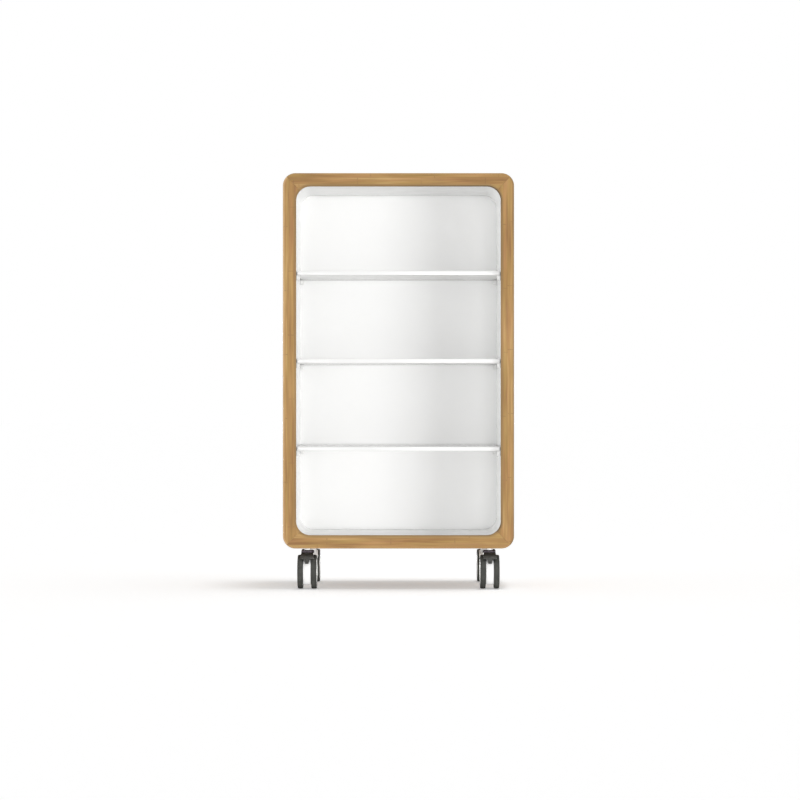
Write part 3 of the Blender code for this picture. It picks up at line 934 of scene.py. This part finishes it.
@dataclass
class Inside:
    """The white lining and the back panel in its groove."""

    case: Case
    finishes: Looks
    lip: float = 0.0008
    lip_steps: int = 4
    lip_wear: float = 0.4

    def lining(self) -> Skin:
        """The lining: its thin section, with a rounded front edge, carried round the opening.

        Returns:
            The lining's skin.
        """
        case = self.case
        front, rear = case.front + case.front_lip + case.gap, case.groove_front + case.gap
        t = quarter(self.lip_steps)
        growth = np.concatenate((self.lip * (1.0 - np.sin(t)), (case.lining, case.lining, 0.0)))
        depth = np.concatenate((front + self.lip * (1.0 - np.cos(t)), (front, rear, rear)))
        rows = np.stack([case.loop(g, d) for g, d in zip(growth, depth)])
        rubbed = np.concatenate((np.sin(2 * t), (self.lip_wear, 0.0, 0.0)))
        return Skin(rows, rubbed[:, None], ring=True)

    def panel(self) -> Skin:
        """The back panel: the opening's outline grown into the groove, at two depths.

        Returns:
            The panel's skin.
        """
        case = self.case
        front = case.groove_front + case.gap
        growth = case.groove - case.gap
        return Skin(np.stack([case.loop(growth, depth) for depth in (front, front + case.panel)]))

    def build(self) -> None:
        """Make and dress the lining and the back panel."""
        lining, panel = self.finishes["white_laminate"], self.finishes["white_panel"]
        install("lining", self.lining().mesh("lining"), lining, CASE_BODY)
        install("back_panel", self.panel().mesh("back_panel"), panel, CASE_BODY)


@dataclass
class Block:
    """A straight bar along X with rounded corners and eased ends."""

    half: Triple
    corner: float
    ease: float
    steps: int = 5
    crease: float = 40.0

    def skin(self) -> Skin:
        """The bar: a rounded rectangle that is drawn in at both ends.

        Returns:
            The bar's skin about the origin.
        """
        half, deep, high = self.half
        x, inset, rub = eased_ends(half, self.ease, self.steps)
        loops = [rounded_rectangle(deep - s, high - s, self.corner - s, self.steps) for s in inset]
        edge = np.sin(2 * np.tile(quarter(self.steps), 4))
        return Skin(stood(x, np.stack(loops)), np.maximum(rub[:, None], edge), crease=self.crease)


@dataclass
class Shelving:
    """Three white shelves on twelve moulded brackets, the compartments being equal."""

    case: Case
    finishes: Looks
    thickness: float = 0.016
    setback: float = 0.025
    end_gap: float = 0.003
    rear_gap: float = 0.002
    edge: float = 0.0012
    bracket: Triple = (0.012, 0.024, 0.018)
    bracket_corner: float = 0.0028
    bracket_ease: float = 0.0016
    bracket_inset: float = 0.006
    levels: tuple[str, ...] = ("lower", "middle", "upper")

    def build(self) -> None:
        """Make and dress the shelves and their brackets."""
        case = self.case
        front, rear = case.front + self.setback, case.groove_front - self.rear_gap
        wall, half_height = case.opening
        half = (wall - self.end_gap, (rear - front) / 2, self.thickness / 2)
        shelf = Block(half, self.edge, self.edge).skin()
        size = np.array(self.bracket) / 2
        bracket = Block(tuple(size), self.bracket_corner, self.bracket_ease).skin()
        white, plastic = self.finishes["white_shelf"], self.finishes["white_plastic"]
        inset = self.bracket_inset + size[1]
        count = len(self.levels)
        room = (2 * half_height - count * self.thickness) / (count + 1)
        for level, name in enumerate(self.levels):
            under = case.foot + case.board + room + level * (room + self.thickness)
            board = shelf.moved((0.0, (front + rear) / 2, under + half[2]))
            install(f"{name}_shelf", board.mesh(f"{name}_shelf"), white, CASE_BODY)
            for side, sign in (("left", -1.0), ("right", 1.0)):
                for end, depth in (("front", front + inset), ("rear", rear - inset)):
                    spot = (sign * (wall - case.gap - size[0]), depth, under - case.gap - size[2])
                    node = f"{name}_{side}_{end}_bracket"
                    install(node, bracket.moved(spot).mesh(node), plastic, CASE_BODY)


@dataclass
class Wheel:
    """One castor wheel: a crowned tyre with round shoulders on a domed hub, from its inner face along +X."""

    radius: float = 0.0625
    width: float = 0.0200
    bore: float = 0.050
    inner_shoulder: float = 0.0021
    outer_shoulder: float = 0.0042
    shoulder_steps: tuple[int, int] = (8, 12)
    crown: float = 0.0005
    tread_steps: int = 12
    face: float = 0.0008
    gap: float = 0.0003
    mould_line: float = 0.00025
    mould_share: float = 0.12
    lip: Pair = (0.004, 0.0015)
    dust_reach: float = 0.003
    rim: float = 0.004
    dome: float = 0.003
    cap_steps: int = 21
    cap_wear: float = 0.4
    eye: float = 0.001
    web: float = 0.004
    boss: float = 0.012
    axle: float = 0.0053
    axle_wall: float = 0.006
    seam_depth: float = 0.0007
    flutes: int = 5
    flute_depth: float = 0.0006
    sides: int = 96

    def tyre(self) -> Skin:
        """The tyre: sidewalls, two shoulder arcs and a crown that falls as the square of the way from its middle.

        Returns:
            The tyre's skin about the axle.
        """
        edge, face = self.radius - self.crown, self.width - self.face
        small, large = self.inner_shoulder, self.outer_shoulder
        inner = bend((small, edge - small), small, math.pi, QUARTER, self.shoulder_steps[0])
        outer = bend((self.width - large, edge - large), large, QUARTER, 0.0, self.shoulder_steps[1])
        middle, reach = (small + self.width - large) / 2, (self.width - large - small) / 2
        u = np.linspace(-1.0, 1.0, self.tread_steps + 1)[1:-1]
        line = self.mould_line * np.exp(-np.square(u / self.mould_share))
        tread = np.stack((middle + reach * u, self.radius - self.crown * np.square(u) - line), axis=-1)
        lip = ((self.width, self.bore + self.lip[0]), (face, self.bore + self.lip[1]), (face, self.bore))
        profile = np.concatenate((((self.face, self.bore),), inner, tread, outer, lip))
        height = (profile[:, 1] - edge + self.dust_reach) / (self.dust_reach + self.crown)
        return Skin.turned(profile, Axis.X, self.sides, True, np.clip(height, 0.0, 1.0))

    def hub(self) -> Skin:
        """The hub: a rim, a seam and a cap that rises by dome (1 - (r / inside)^2) to the middle.

        Shallow flutes lower the cap by their depth times sin(pi u) (1 + cos n t) / 2, u running from boss to seam.

        Returns:
            The hub's skin about the axle.
        """
        rim, face, seam = self.bore - self.gap, self.width - self.face, self.seam_depth
        inside, end = rim - self.rim, face - self.axle_wall
        r = np.linspace(inside - 2 * seam, self.eye, self.cap_steps + 1)
        cap = np.column_stack((face + self.dome * (1.0 - np.square(r / inside)), r))
        bore = ((end, self.eye), (end, self.axle), (0.0, self.axle), (0.0, self.boss))
        back = ((face - self.web, self.boss + self.web), (self.face, inside))
        edge = ((self.face, rim), (face - seam, rim), (face, rim - seam), (face, inside + seam))
        groove = ((face - seam, inside), (face - seam, inside - seam))
        profile = np.concatenate((bore, back, edge, groove, cap))
        worn = np.repeat((0.0, 1.0, 0.0), (len(bore) + len(back), len(edge), len(groove)))
        worn = np.concatenate((worn, np.square(r / inside) * self.cap_wear))
        skin = Skin.turned(profile, Axis.X, self.sides, wear=worn)
        u = np.clip((r - self.boss) / (inside - self.boss), 0.0, 1.0)
        wave = 0.5 + 0.5 * np.cos(self.flutes * around(self.sides))
        skin.points[-len(r) :, :, 0] -= self.flute_depth * np.sin(math.pi * u)[:, None] * wave[None]
        return skin


@dataclass
class Castor:
    """A braked twin-wheel castor about its stem: collar, cup, housing, pedal and two wheels, trailing towards -Y.

    A plan's rows are (angle ahead of upright about the axle in degrees, width), in rising order.
    """

    name: str
    spot: Pair
    heading: float
    finishes: Looks
    wheel: Wheel = field(default_factory=Wheel)
    top: float = 0.150
    trail: float = 0.038
    gap: float = 0.0003
    side_gap: float = 0.0006
    sides: int = 72
    stem_radius: float = 0.006
    stem_foot: float = 0.104
    stem_crease: float = 25.0
    thread_length: float = 0.036
    chamfer: float = 0.0015
    collar_radius: float = 0.0145
    collar_height: float = 0.0090
    collar_cone: float = 0.90
    collar_chamfer: Pair = (0.0017, 0.001)
    collar_rub: float = 0.99
    cup_radius: float = 0.0247
    cup_height: float = 0.0100
    cup_shoulder: float = 0.0035
    cup_wall: float = 0.0004
    cup_lip: float = 0.001
    cup_steps: tuple[int, int] = (10, 8)
    housing_width: float = 0.0294
    housing_round: float = 0.0585
    housing_top_angle: float = 45.0
    housing_edge: float = 0.0022
    housing_steps: int = 6
    housing_blend: float = 0.0030
    outline_steps: tuple[int, int] = (40, 20)
    outline_points: int = 240
    floor_gap: float = 0.018
    neck_drop: float = 0.001
    neck_half: float = 0.0225
    neck_foot: float = 0.098
    flange_radius: float = 0.023
    flange_thickness: float = 0.0078
    flange_edge: float = 0.001
    flange_eye: float = 0.007
    flange_sides: int = 64
    flange_steps: int = 4
    crown_cover: float = 0.006
    pivot: Pair = (0.004, 0.0515)
    pedal_inner: float = 0.067
    pedal_thickness: float = 0.0032
    pedal_plan: tuple[Pair, ...] = (
        (-10.0, 0.0390), (-9.2, 0.0413), (-8.0, 0.0422), (42.0, 0.0500), (43.3, 0.0490), (44.0, 0.0465),
        (44.9, 0.0225), (46.0, 0.0187), (59.2, 0.0145), (60.4, 0.0125), (61.0, 0.0090),
    )  # fmt: skip
    plate_corner: float = 0.0012
    plate_steps: int = 4
    plan_points: tuple[int, int] = (60, 140)
    hood_inner: float = 0.0645
    hood_thickness: float = 0.003
    hood_plan: tuple[Pair, ...] = (
        (-62.0, 0.0520), (-61.5, 0.0545), (-60.5, 0.0564), (-59.0, 0.0570), (-27.0, 0.0570), (-25.6, 0.0558),
        (-25.0, 0.0530),
    )  # fmt: skip
    rib_width: float = 0.010
    rib_radius: float = 0.005
    rib_steps: int = 16
    swing_room: float = 0.002
    slot_roof: float = 0.002
    slot_corner: float = 0.001
    slot_ease: float = 0.0004
    slot_steps: int = 2
    pin_radius: float = 0.0025
    pin_reach: float = 0.004
    pin_sides: int = 24

    @property
    def axle(self) -> Pair:
        """Depth and height of the axle, about the stem."""
        return -self.trail, self.wheel.radius

    @property
    def pin(self) -> Pair:
        """Depth and height of the pedal's pivot."""
        return self.axle[0] + self.pivot[0], self.axle[1] + self.pivot[1]

    @property
    def collar_foot(self) -> float:
        """Height of the collar's underside."""
        return self.top - self.gap - self.collar_height

    @property
    def cup_foot(self) -> float:
        """Height of the cup's lower lip."""
        return self.collar_foot - self.gap - self.cup_height

    @property
    def housing_top(self) -> float:
        """Height of the housing's flange."""
        return self.cup_foot - self.gap

    def stem(self) -> Skin:
        """The stem: a shank and a hexagon collar.

        The collar's radius is the lesser of a cos 30 / cos(t mod 60 - 30), a being its corner radius, and a chamfer
        circle that opens with the distance from its ends.

        Returns:
            The stem's skin.
        """
        turn = around(self.sides)
        sector = math.pi / 3
        hexagon = self.collar_radius * math.cos(sector / 2) / np.cos(np.mod(turn, sector) - sector / 2)
        end, head, foot, tip = self.top + self.thread_length, self.top - self.gap, self.collar_foot, self.stem_foot
        r, c = self.stem_radius, self.chamfer
        cone = self.collar_radius * self.collar_cone
        out, down = self.collar_chamfer
        z = (end, end - c, head, head, head - down, foot + down, foot, foot, tip + c, tip)
        limit = (r - c, r, r, cone, cone + out, cone + out, cone, r, r, r - c)
        radii = np.minimum(np.array(limit)[:, None], hexagon)
        heights = np.repeat(np.array(z)[:, None], self.sides, axis=1)
        points = np.stack((radii * np.cos(turn), radii * np.sin(turn), heights), axis=-1)
        return Skin(points, radii > cone * self.collar_rub, crease=self.stem_crease)

    def cup(self) -> Skin:
        """The pressed cup: a flat top, a shoulder arc and a rolled lower lip, spun about the stem.

        Returns:
            The cup's skin.
        """
        foot, bore = self.cup_foot, self.stem_radius + self.gap
        head, wall = foot + self.cup_height, self.cup_radius - self.cup_wall
        s, lip = self.cup_shoulder, self.cup_lip
        shoulder = bend((wall - s, head - s), s, QUARTER, 0.0, self.cup_steps[0])
        rolled = bend((self.cup_radius - lip, foot + lip), lip, QUARTER, -QUARTER, self.cup_steps[1])
        outline = np.concatenate((((bore, head),), shoulder, rolled, ((bore, foot),)))
        rub = np.sin(2 * quarter(self.cup_steps[0]))
        wear = np.concatenate(((0.0,), rub, np.ones(len(rolled)), (0.0,)))
        return Skin.turned(outline[:, ::-1], Axis.Z, self.sides, True, wear)

    def outline(self) -> np.ndarray:
        """The housing's side view: round body with a flat foot, crown and neck, resampled and smoothed by a kernel.

        Returns:
            Rows of (depth, height).
        """
        axle, pin = self.axle, self.pin
        crown = pin[1] + self.crown_cover
        ahead = pin[0] - self.crown_cover - self.rib_radius
        start = math.radians(90.0 + self.housing_top_angle)
        dip = math.asin((axle[1] - self.floor_gap) / self.housing_round)
        front = bend(axle, self.housing_round, start, math.pi + dip, self.outline_steps[0])
        back = bend(axle, self.housing_round, math.tau - dip, math.tau, self.outline_steps[1])
        neck, head = self.neck_half, self.housing_top - self.neck_drop
        rest = ((neck, self.neck_foot), (neck, head), (-neck, head), (-neck, crown))
        corners = np.concatenate((((ahead, crown),), front, back, rest))
        loop = np.concatenate((corners, corners[:1]))
        travel = np.concatenate(((0.0,), np.cumsum(np.linalg.norm(np.diff(loop, axis=0), axis=1))))
        spots = np.arange(self.outline_points) * (travel[-1] / self.outline_points)
        even = np.stack([np.interp(spots, travel, loop[:, k]) for k in (0, 1)], axis=-1)
        offset = np.minimum(spots, travel[-1] - spots)
        kernel = np.exp(-0.5 * np.square(offset / self.housing_blend))
        kernel /= kernel.sum()
        return np.fft.ifft(np.fft.fft(even, axis=0) * np.fft.fft(kernel)[:, None], axis=0).real

    def flange(self) -> Skin:
        """The housing's flange: a disc with rounded rims, spun about the stem.

        Returns:
            The flange's skin.
        """
        top, edge = self.housing_top, self.flange_edge
        foot, r = top - self.flange_thickness, self.flange_radius - edge
        upper = bend((r, top - edge), edge, QUARTER, 0.0, self.flange_steps)
        lower = bend((r, foot + edge), edge, 0.0, -QUARTER, self.flange_steps)
        outline = np.concatenate((((self.flange_eye, top),), upper, lower, ((self.flange_eye, foot),)))
        return Skin.turned(outline[:, ::-1], Axis.Z, self.flange_sides)

    def housing(self) -> Mesh:
        """The housing: the side view carried across and drawn in along its normals at both sides.

        A turned flange and the arched hood are joined on, and the slot that the pedal's rib rocks in is cut away.

        Returns:
            The housing's mesh.
        """
        loop = self.outline()
        tangent = np.roll(loop, -1, axis=0) - np.roll(loop, 1, axis=0)
        tangent /= np.linalg.norm(tangent, axis=1, keepdims=True)
        inward = np.stack((-tangent[:, 1], tangent[:, 0]), axis=-1)
        x, inset, rub = eased_ends(self.housing_width / 2, self.housing_edge, self.housing_steps)
        points = stood(x, loop[None] + inset[:, None, None] * inward[None])
        body = Skin(points, rub[:, None]).mesh("housing")
        body = carved(body, self.flange().mesh("flange"), Carve.JOIN)
        hood = self.arched(self.hood_plan, self.hood_inner, self.hood_thickness)
        body = carved(body, hood.mesh("hood"), Carve.JOIN)

        room = self.rib_radius + self.swing_room
        low, high = self.pin[1] - room, self.housing_top - self.slot_roof
        half = (self.rib_width / 2 + self.gap, room, (high - low) / 2)
        slot = Block(half, self.slot_corner, self.slot_ease, self.slot_steps).skin()
        return carved(body, slot.moved((0.0, self.pin[0], (low + high) / 2)).mesh("slot"), Carve.CUT)

    def arched(self, plan: tuple[Pair, ...], inner: float, thickness: float) -> Skin:
        """A thin rounded section carried round the axle, its width following a plan.

        A section point at (across, r) goes to (across, -r sin a, r cos a) about the axle.

        Args:
            plan: Rows of (angle, width).
            inner: Radius of the underside.
            thickness: Thickness of the plate.

        Returns:
            The plate's skin.
        """
        rows = np.array(plan)
        even, close = self.plan_points
        spread = np.interp(np.linspace(0.0, 1.0, close), np.linspace(0.0, 1.0, len(rows)), rows[:, 0])
        angles = np.unique(np.concatenate((np.linspace(rows[0, 0], rows[-1, 0], even), spread)))
        width = np.interp(angles, rows[:, 0], rows[:, 1])
        section = rounded_rectangle(1.0, thickness / 2, self.plate_corner, self.plate_steps)
        across = section[:, 0] - np.sign(section[:, 0]) * (1.0 - width[:, None] / 2)
        radius = inner + thickness / 2 + section[:, 1]
        turn = np.radians(angles)[:, None]
        y = -radius * np.sin(turn) + self.axle[0]
        z = radius * np.cos(turn) + self.axle[1]
        edge = np.tile(np.sin(2 * quarter(self.plate_steps)), 4) * (section[:, 1] > 0.0)
        return Skin(np.stack((across, y, z), axis=-1), edge)

    def pedal(self) -> Mesh:
        """The pedal: an arched plate that narrows to a tongue, with the rib and pins that it rocks on.

        Returns:
            The pedal's mesh.
        """
        plate = self.arched(self.pedal_plan, self.pedal_inner, self.pedal_thickness).mesh("pedal")
        rise, r = self.pedal_inner + self.pedal_thickness / 2 - self.pivot[1], self.rib_radius
        rib = np.concatenate((bend((0.0, 0.0), r, 0.0, -math.pi, self.rib_steps), ((-r, rise), (r, rise))))
        half, reach = self.rib_width / 2, self.rib_width / 2 + self.pin_reach
        points = stood(np.array((-half, half)), np.broadcast_to(rib + np.array(self.pin), (2, *rib.shape)))
        plate = carved(plate, Skin(points).mesh("rib"), Carve.JOIN)
        profile = np.array(((-reach, self.pin_radius), (reach, self.pin_radius)))
        pins = Skin.turned(profile, Axis.X, self.pin_sides).moved((0.0, *self.pin))
        return carved(plate, pins.mesh("pins"), Carve.JOIN)

    def placed(self, mesh: Mesh) -> Mesh:
        """Carry a mesh from the castor's own place to its corner of the case.

        Args:
            mesh: A mesh about the stem.

        Returns:
            The same mesh, turned by the heading and moved.
        """
        points = np.empty(len(mesh.vertices) * 3, dtype=np.float32)
        mesh.vertices.foreach_get("co", points)
        points = carried(points.reshape(-1, 3), (*self.spot, 0.0), self.heading)
        mesh.vertices.foreach_set("co", points.ravel())
        mesh.update()
        return mesh

    def build(self) -> None:
        """Make and dress the castor's pieces; the hidden axle keeps its CAD form."""
        looks, swivel = self.finishes, f"{self.name}_swivel"
        rows = [
            ("stem", self.stem().mesh("stem"), CASE_BODY, "zinc_steel"),
            ("swivel_cup", self.cup().mesh("cup"), swivel, "dark_metal"),
            ("housing", self.housing(), swivel, "white_nylon"),
            ("pedal", self.pedal(), f"{self.name}_brake", "black_plastic"),
        ]
        outer = 1.0 if self.spot[0] * math.cos(self.heading) > 0.0 else -1.0
        for which, side in (("outer", outer), ("inner", -outer)):
            spot = (side * (self.housing_width / 2 + self.side_gap), *self.axle)
            turn = 0.0 if side > 0.0 else math.pi
            body = f"{self.name}_{which}_wheel"
            tyre, hub = (skin.moved(spot, turn) for skin in (self.wheel.tyre(), self.wheel.hub()))
            rows.append((f"{which}_tyre", tyre.mesh("tyre"), body, "grey_rubber"))
            rows.append((f"{which}_hub", hub.mesh("hub"), body, "grey_plastic"))
        for part, mesh, body, slot in rows:
            install(f"{self.name}_{part}", self.placed(mesh), looks[slot], body)

        axle = f"{self.name}_axle"
        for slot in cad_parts[axle].material_slots:
            slot.material = looks["zinc_steel"]
        LOG.info("%s: CAD form, new finish", axle)


@dataclass
class Studio:
    """White floor, plain light from the front right and a level camera.

    Rows of lamps have a name, total energy, first and last angle from the front towards the right, and count.
    The lamps overhead have a name, energy, angle, height above the horizon and spread.
    """

    sky: float = 0.36
    rows: tuple[tuple[str, float, float, float, int], ...] = (
        ("side", 0.80, -76.0, -60.0, 8),
        ("fill", 0.65, -38.0, -10.0, 14),
        ("front", 0.30, 1.0, 9.0, 4),
        ("key", 1.50, 32.0, 60.0, 14),
        ("rear", 1.30, 140.0, 220.0, 9),
    )
    row_height: float = 0.0
    row_spread: float = 2.0
    tops: tuple[tuple[str, float, float, float, float], ...] = (
        ("top", 0.62, 90.0, 82.0, 12.0),
        ("top_haze", 0.25, 90.0, 72.0, 40.0),
    )
    floor_finish: Finish = Backdrop("studio_floor")
    floor_radius: float = 60.0
    floor_depth: float = 0.05
    floor_sides: int = 64
    camera_spot: Triple = (0.0057, -8.53, 0.696)
    lens: float = 102.0
    far: float = 200.0

    def floor(self) -> None:
        """Lay the floor: a wide disc that level lamps shine through."""
        profile = np.array(((0.0, self.floor_radius), (-self.floor_depth, self.floor_radius)))
        mesh = Skin.turned(profile, Axis.Z, self.floor_sides).mesh("floor")
        mesh.materials.append(self.floor_finish.material())
        piece = linked("studio_floor", mesh)
        piece.visible_shadow = False

    def light(self) -> None:
        """Set the even sky, which the camera sees as white, the level rows of lamps and the lamps overhead."""
        world = bpy.data.worlds.new("studio")
        world.use_nodes = True
        graph = Graph(world.node_tree)
        background = world.node_tree.nodes["Background"].inputs
        graph.feed(background["Color"], (*WHITE, 1.0))
        graph.feed(background["Strength"], graph.seen() * (1.0 - self.sky) + self.sky)
        bpy.context.scene.world = world
        for name, energy, first, last, count in self.rows:
            for number, across in enumerate(np.linspace(first, last, count)):
                self.lamp(f"{name}_{number}", energy / count, float(across), self.row_height, self.row_spread)
        for row in self.tops:
            self.lamp(*row)

    def lamp(self, name: str, energy: float, across: float, up: float, spread: float) -> None:
        """Hang one distant lamp.

        Args:
            name: The lamp's name.
            energy: Its strength.
            across: Angle from the front towards the right, in degrees.
            up: Angle above the horizon, in degrees.
            spread: Width of the lamp as seen from the object, in degrees.
        """
        data = bpy.data.lights.new(name, "SUN")
        data.energy = energy
        data.angle = math.radians(spread)
        linked(name, data).rotation_euler = (math.radians(90.0 - up), 0.0, math.radians(across))

    def camera(self) -> None:
        """Stand the camera level before the front, a little right of the middle."""
        data = bpy.data.cameras.new("camera")
        data.lens = self.lens
        data.clip_end = self.far
        holder = linked("camera", data)
        holder.location = self.camera_spot
        holder.rotation_euler = (QUARTER, 0.0, 0.0)
        bpy.context.scene.camera = holder

    def build(self) -> None:
        """Set up floor, light and camera."""
        self.floor()
        self.light()
        self.camera()
        bpy.context.scene.view_settings.view_transform = "Standard"


def dressing() -> Looks:
    """Make every finish but those of the boards.

    Returns:
        Materials by name.
    """
    faint = {"scuffed": 0.04, "mark_waves": (45.0, 60.0, 45.0), "mark_dull": 0.03, "mark_relief": 0.05}
    finishes = (
        Moulded(
            "white_laminate", (0.93, 0.93, 0.923), (0.78, 0.77, 0.75), cloud=0.012, cloud_scale=5.0,
            roughness=(0.18, 0.24), rubbed=0.25, **faint,
        ),
        Moulded(
            "white_panel", (0.93, 0.93, 0.923), (0.80, 0.79, 0.77), cloud=0.012, cloud_scale=4.0,
            skin_scale=900.0, scuffed=0.06,
        ),
        Moulded(
            "white_shelf", (0.80, 0.80, 0.794), (0.68, 0.67, 0.65), cloud=0.014, cloud_scale=6.0,
            roughness=(0.16, 0.22), rubbed=0.35, **faint,
        ),
        Moulded(
            "white_plastic", (0.84, 0.84, 0.83), (0.70, 0.69, 0.67), cloud=0.02, cloud_scale=80.0,
            skin_scale=2400.0,
        ),
        Plated(
            "zinc_steel", (0.84, 0.84, 0.84), (0.92, 0.92, 0.91), (0.62, 0.62, 0.63),
            roughness=(0.26, 0.42), rubbed=0.7, metallic=0.35,
        ),
        Plated(
            "dark_metal", (0.090, 0.074, 0.088), (0.140, 0.124, 0.138), (0.050, 0.042, 0.048),
            roughness=(0.46, 0.60), rubbed=0.4, relief=(0.00005, 0.12),
        ),
        Moulded(
            "white_nylon", (0.94, 0.94, 0.933), (0.80, 0.80, 0.78), cloud=0.015, cloud_scale=60.0,
            skin_scale=2400.0, rubbed=0.15, scuffed=0.08,
        ),
        Moulded(
            "black_plastic", (0.050, 0.050, 0.046), (0.200, 0.198, 0.186), cloud=0.28, cloud_scale=150.0,
            skin_scale=2600.0, relief=(0.0001, 0.45), roughness=(0.38, 0.54), rubbed=0.7, scuffed=0.16,
        ),
        Moulded(
            "grey_plastic", (0.62, 0.625, 0.605), (0.42, 0.42, 0.41), cloud=0.05, cloud_scale=70.0,
            skin_scale=2200.0, rubbed=0.25, scuffed=0.12,
        ),
        Rubber("grey_rubber", (0.038, 0.039, 0.035), (0.098, 0.099, 0.090), (0.022, 0.022, 0.020)),
    )  # fmt: skip
    return {finish.name: finish.material() for finish in finishes}


def main() -> None:
    """Build every sub-assembly in order and report it."""
    logging.basicConfig(level=logging.INFO, format="%(name)s %(message)s")
    case = Case()
    finishes = dressing()
    Carcass(case).build()
    Inside(case, finishes).build()
    Shelving(case, finishes).build()
    x, y = case.width / 2 - case.castor_inset[0], case.depth / 2 - case.castor_inset[1]
    for name, spot, heading in (
        ("front_left", (-x, -y), 0.0),
        ("front_right", (x, -y), 0.0),
        ("rear_left", (-x, y), math.pi),
        ("rear_right", (x, y), math.pi),
    ):
        Castor(name, spot, heading, finishes).build()
    Studio().build()


if __name__ == "__main__":
    main()
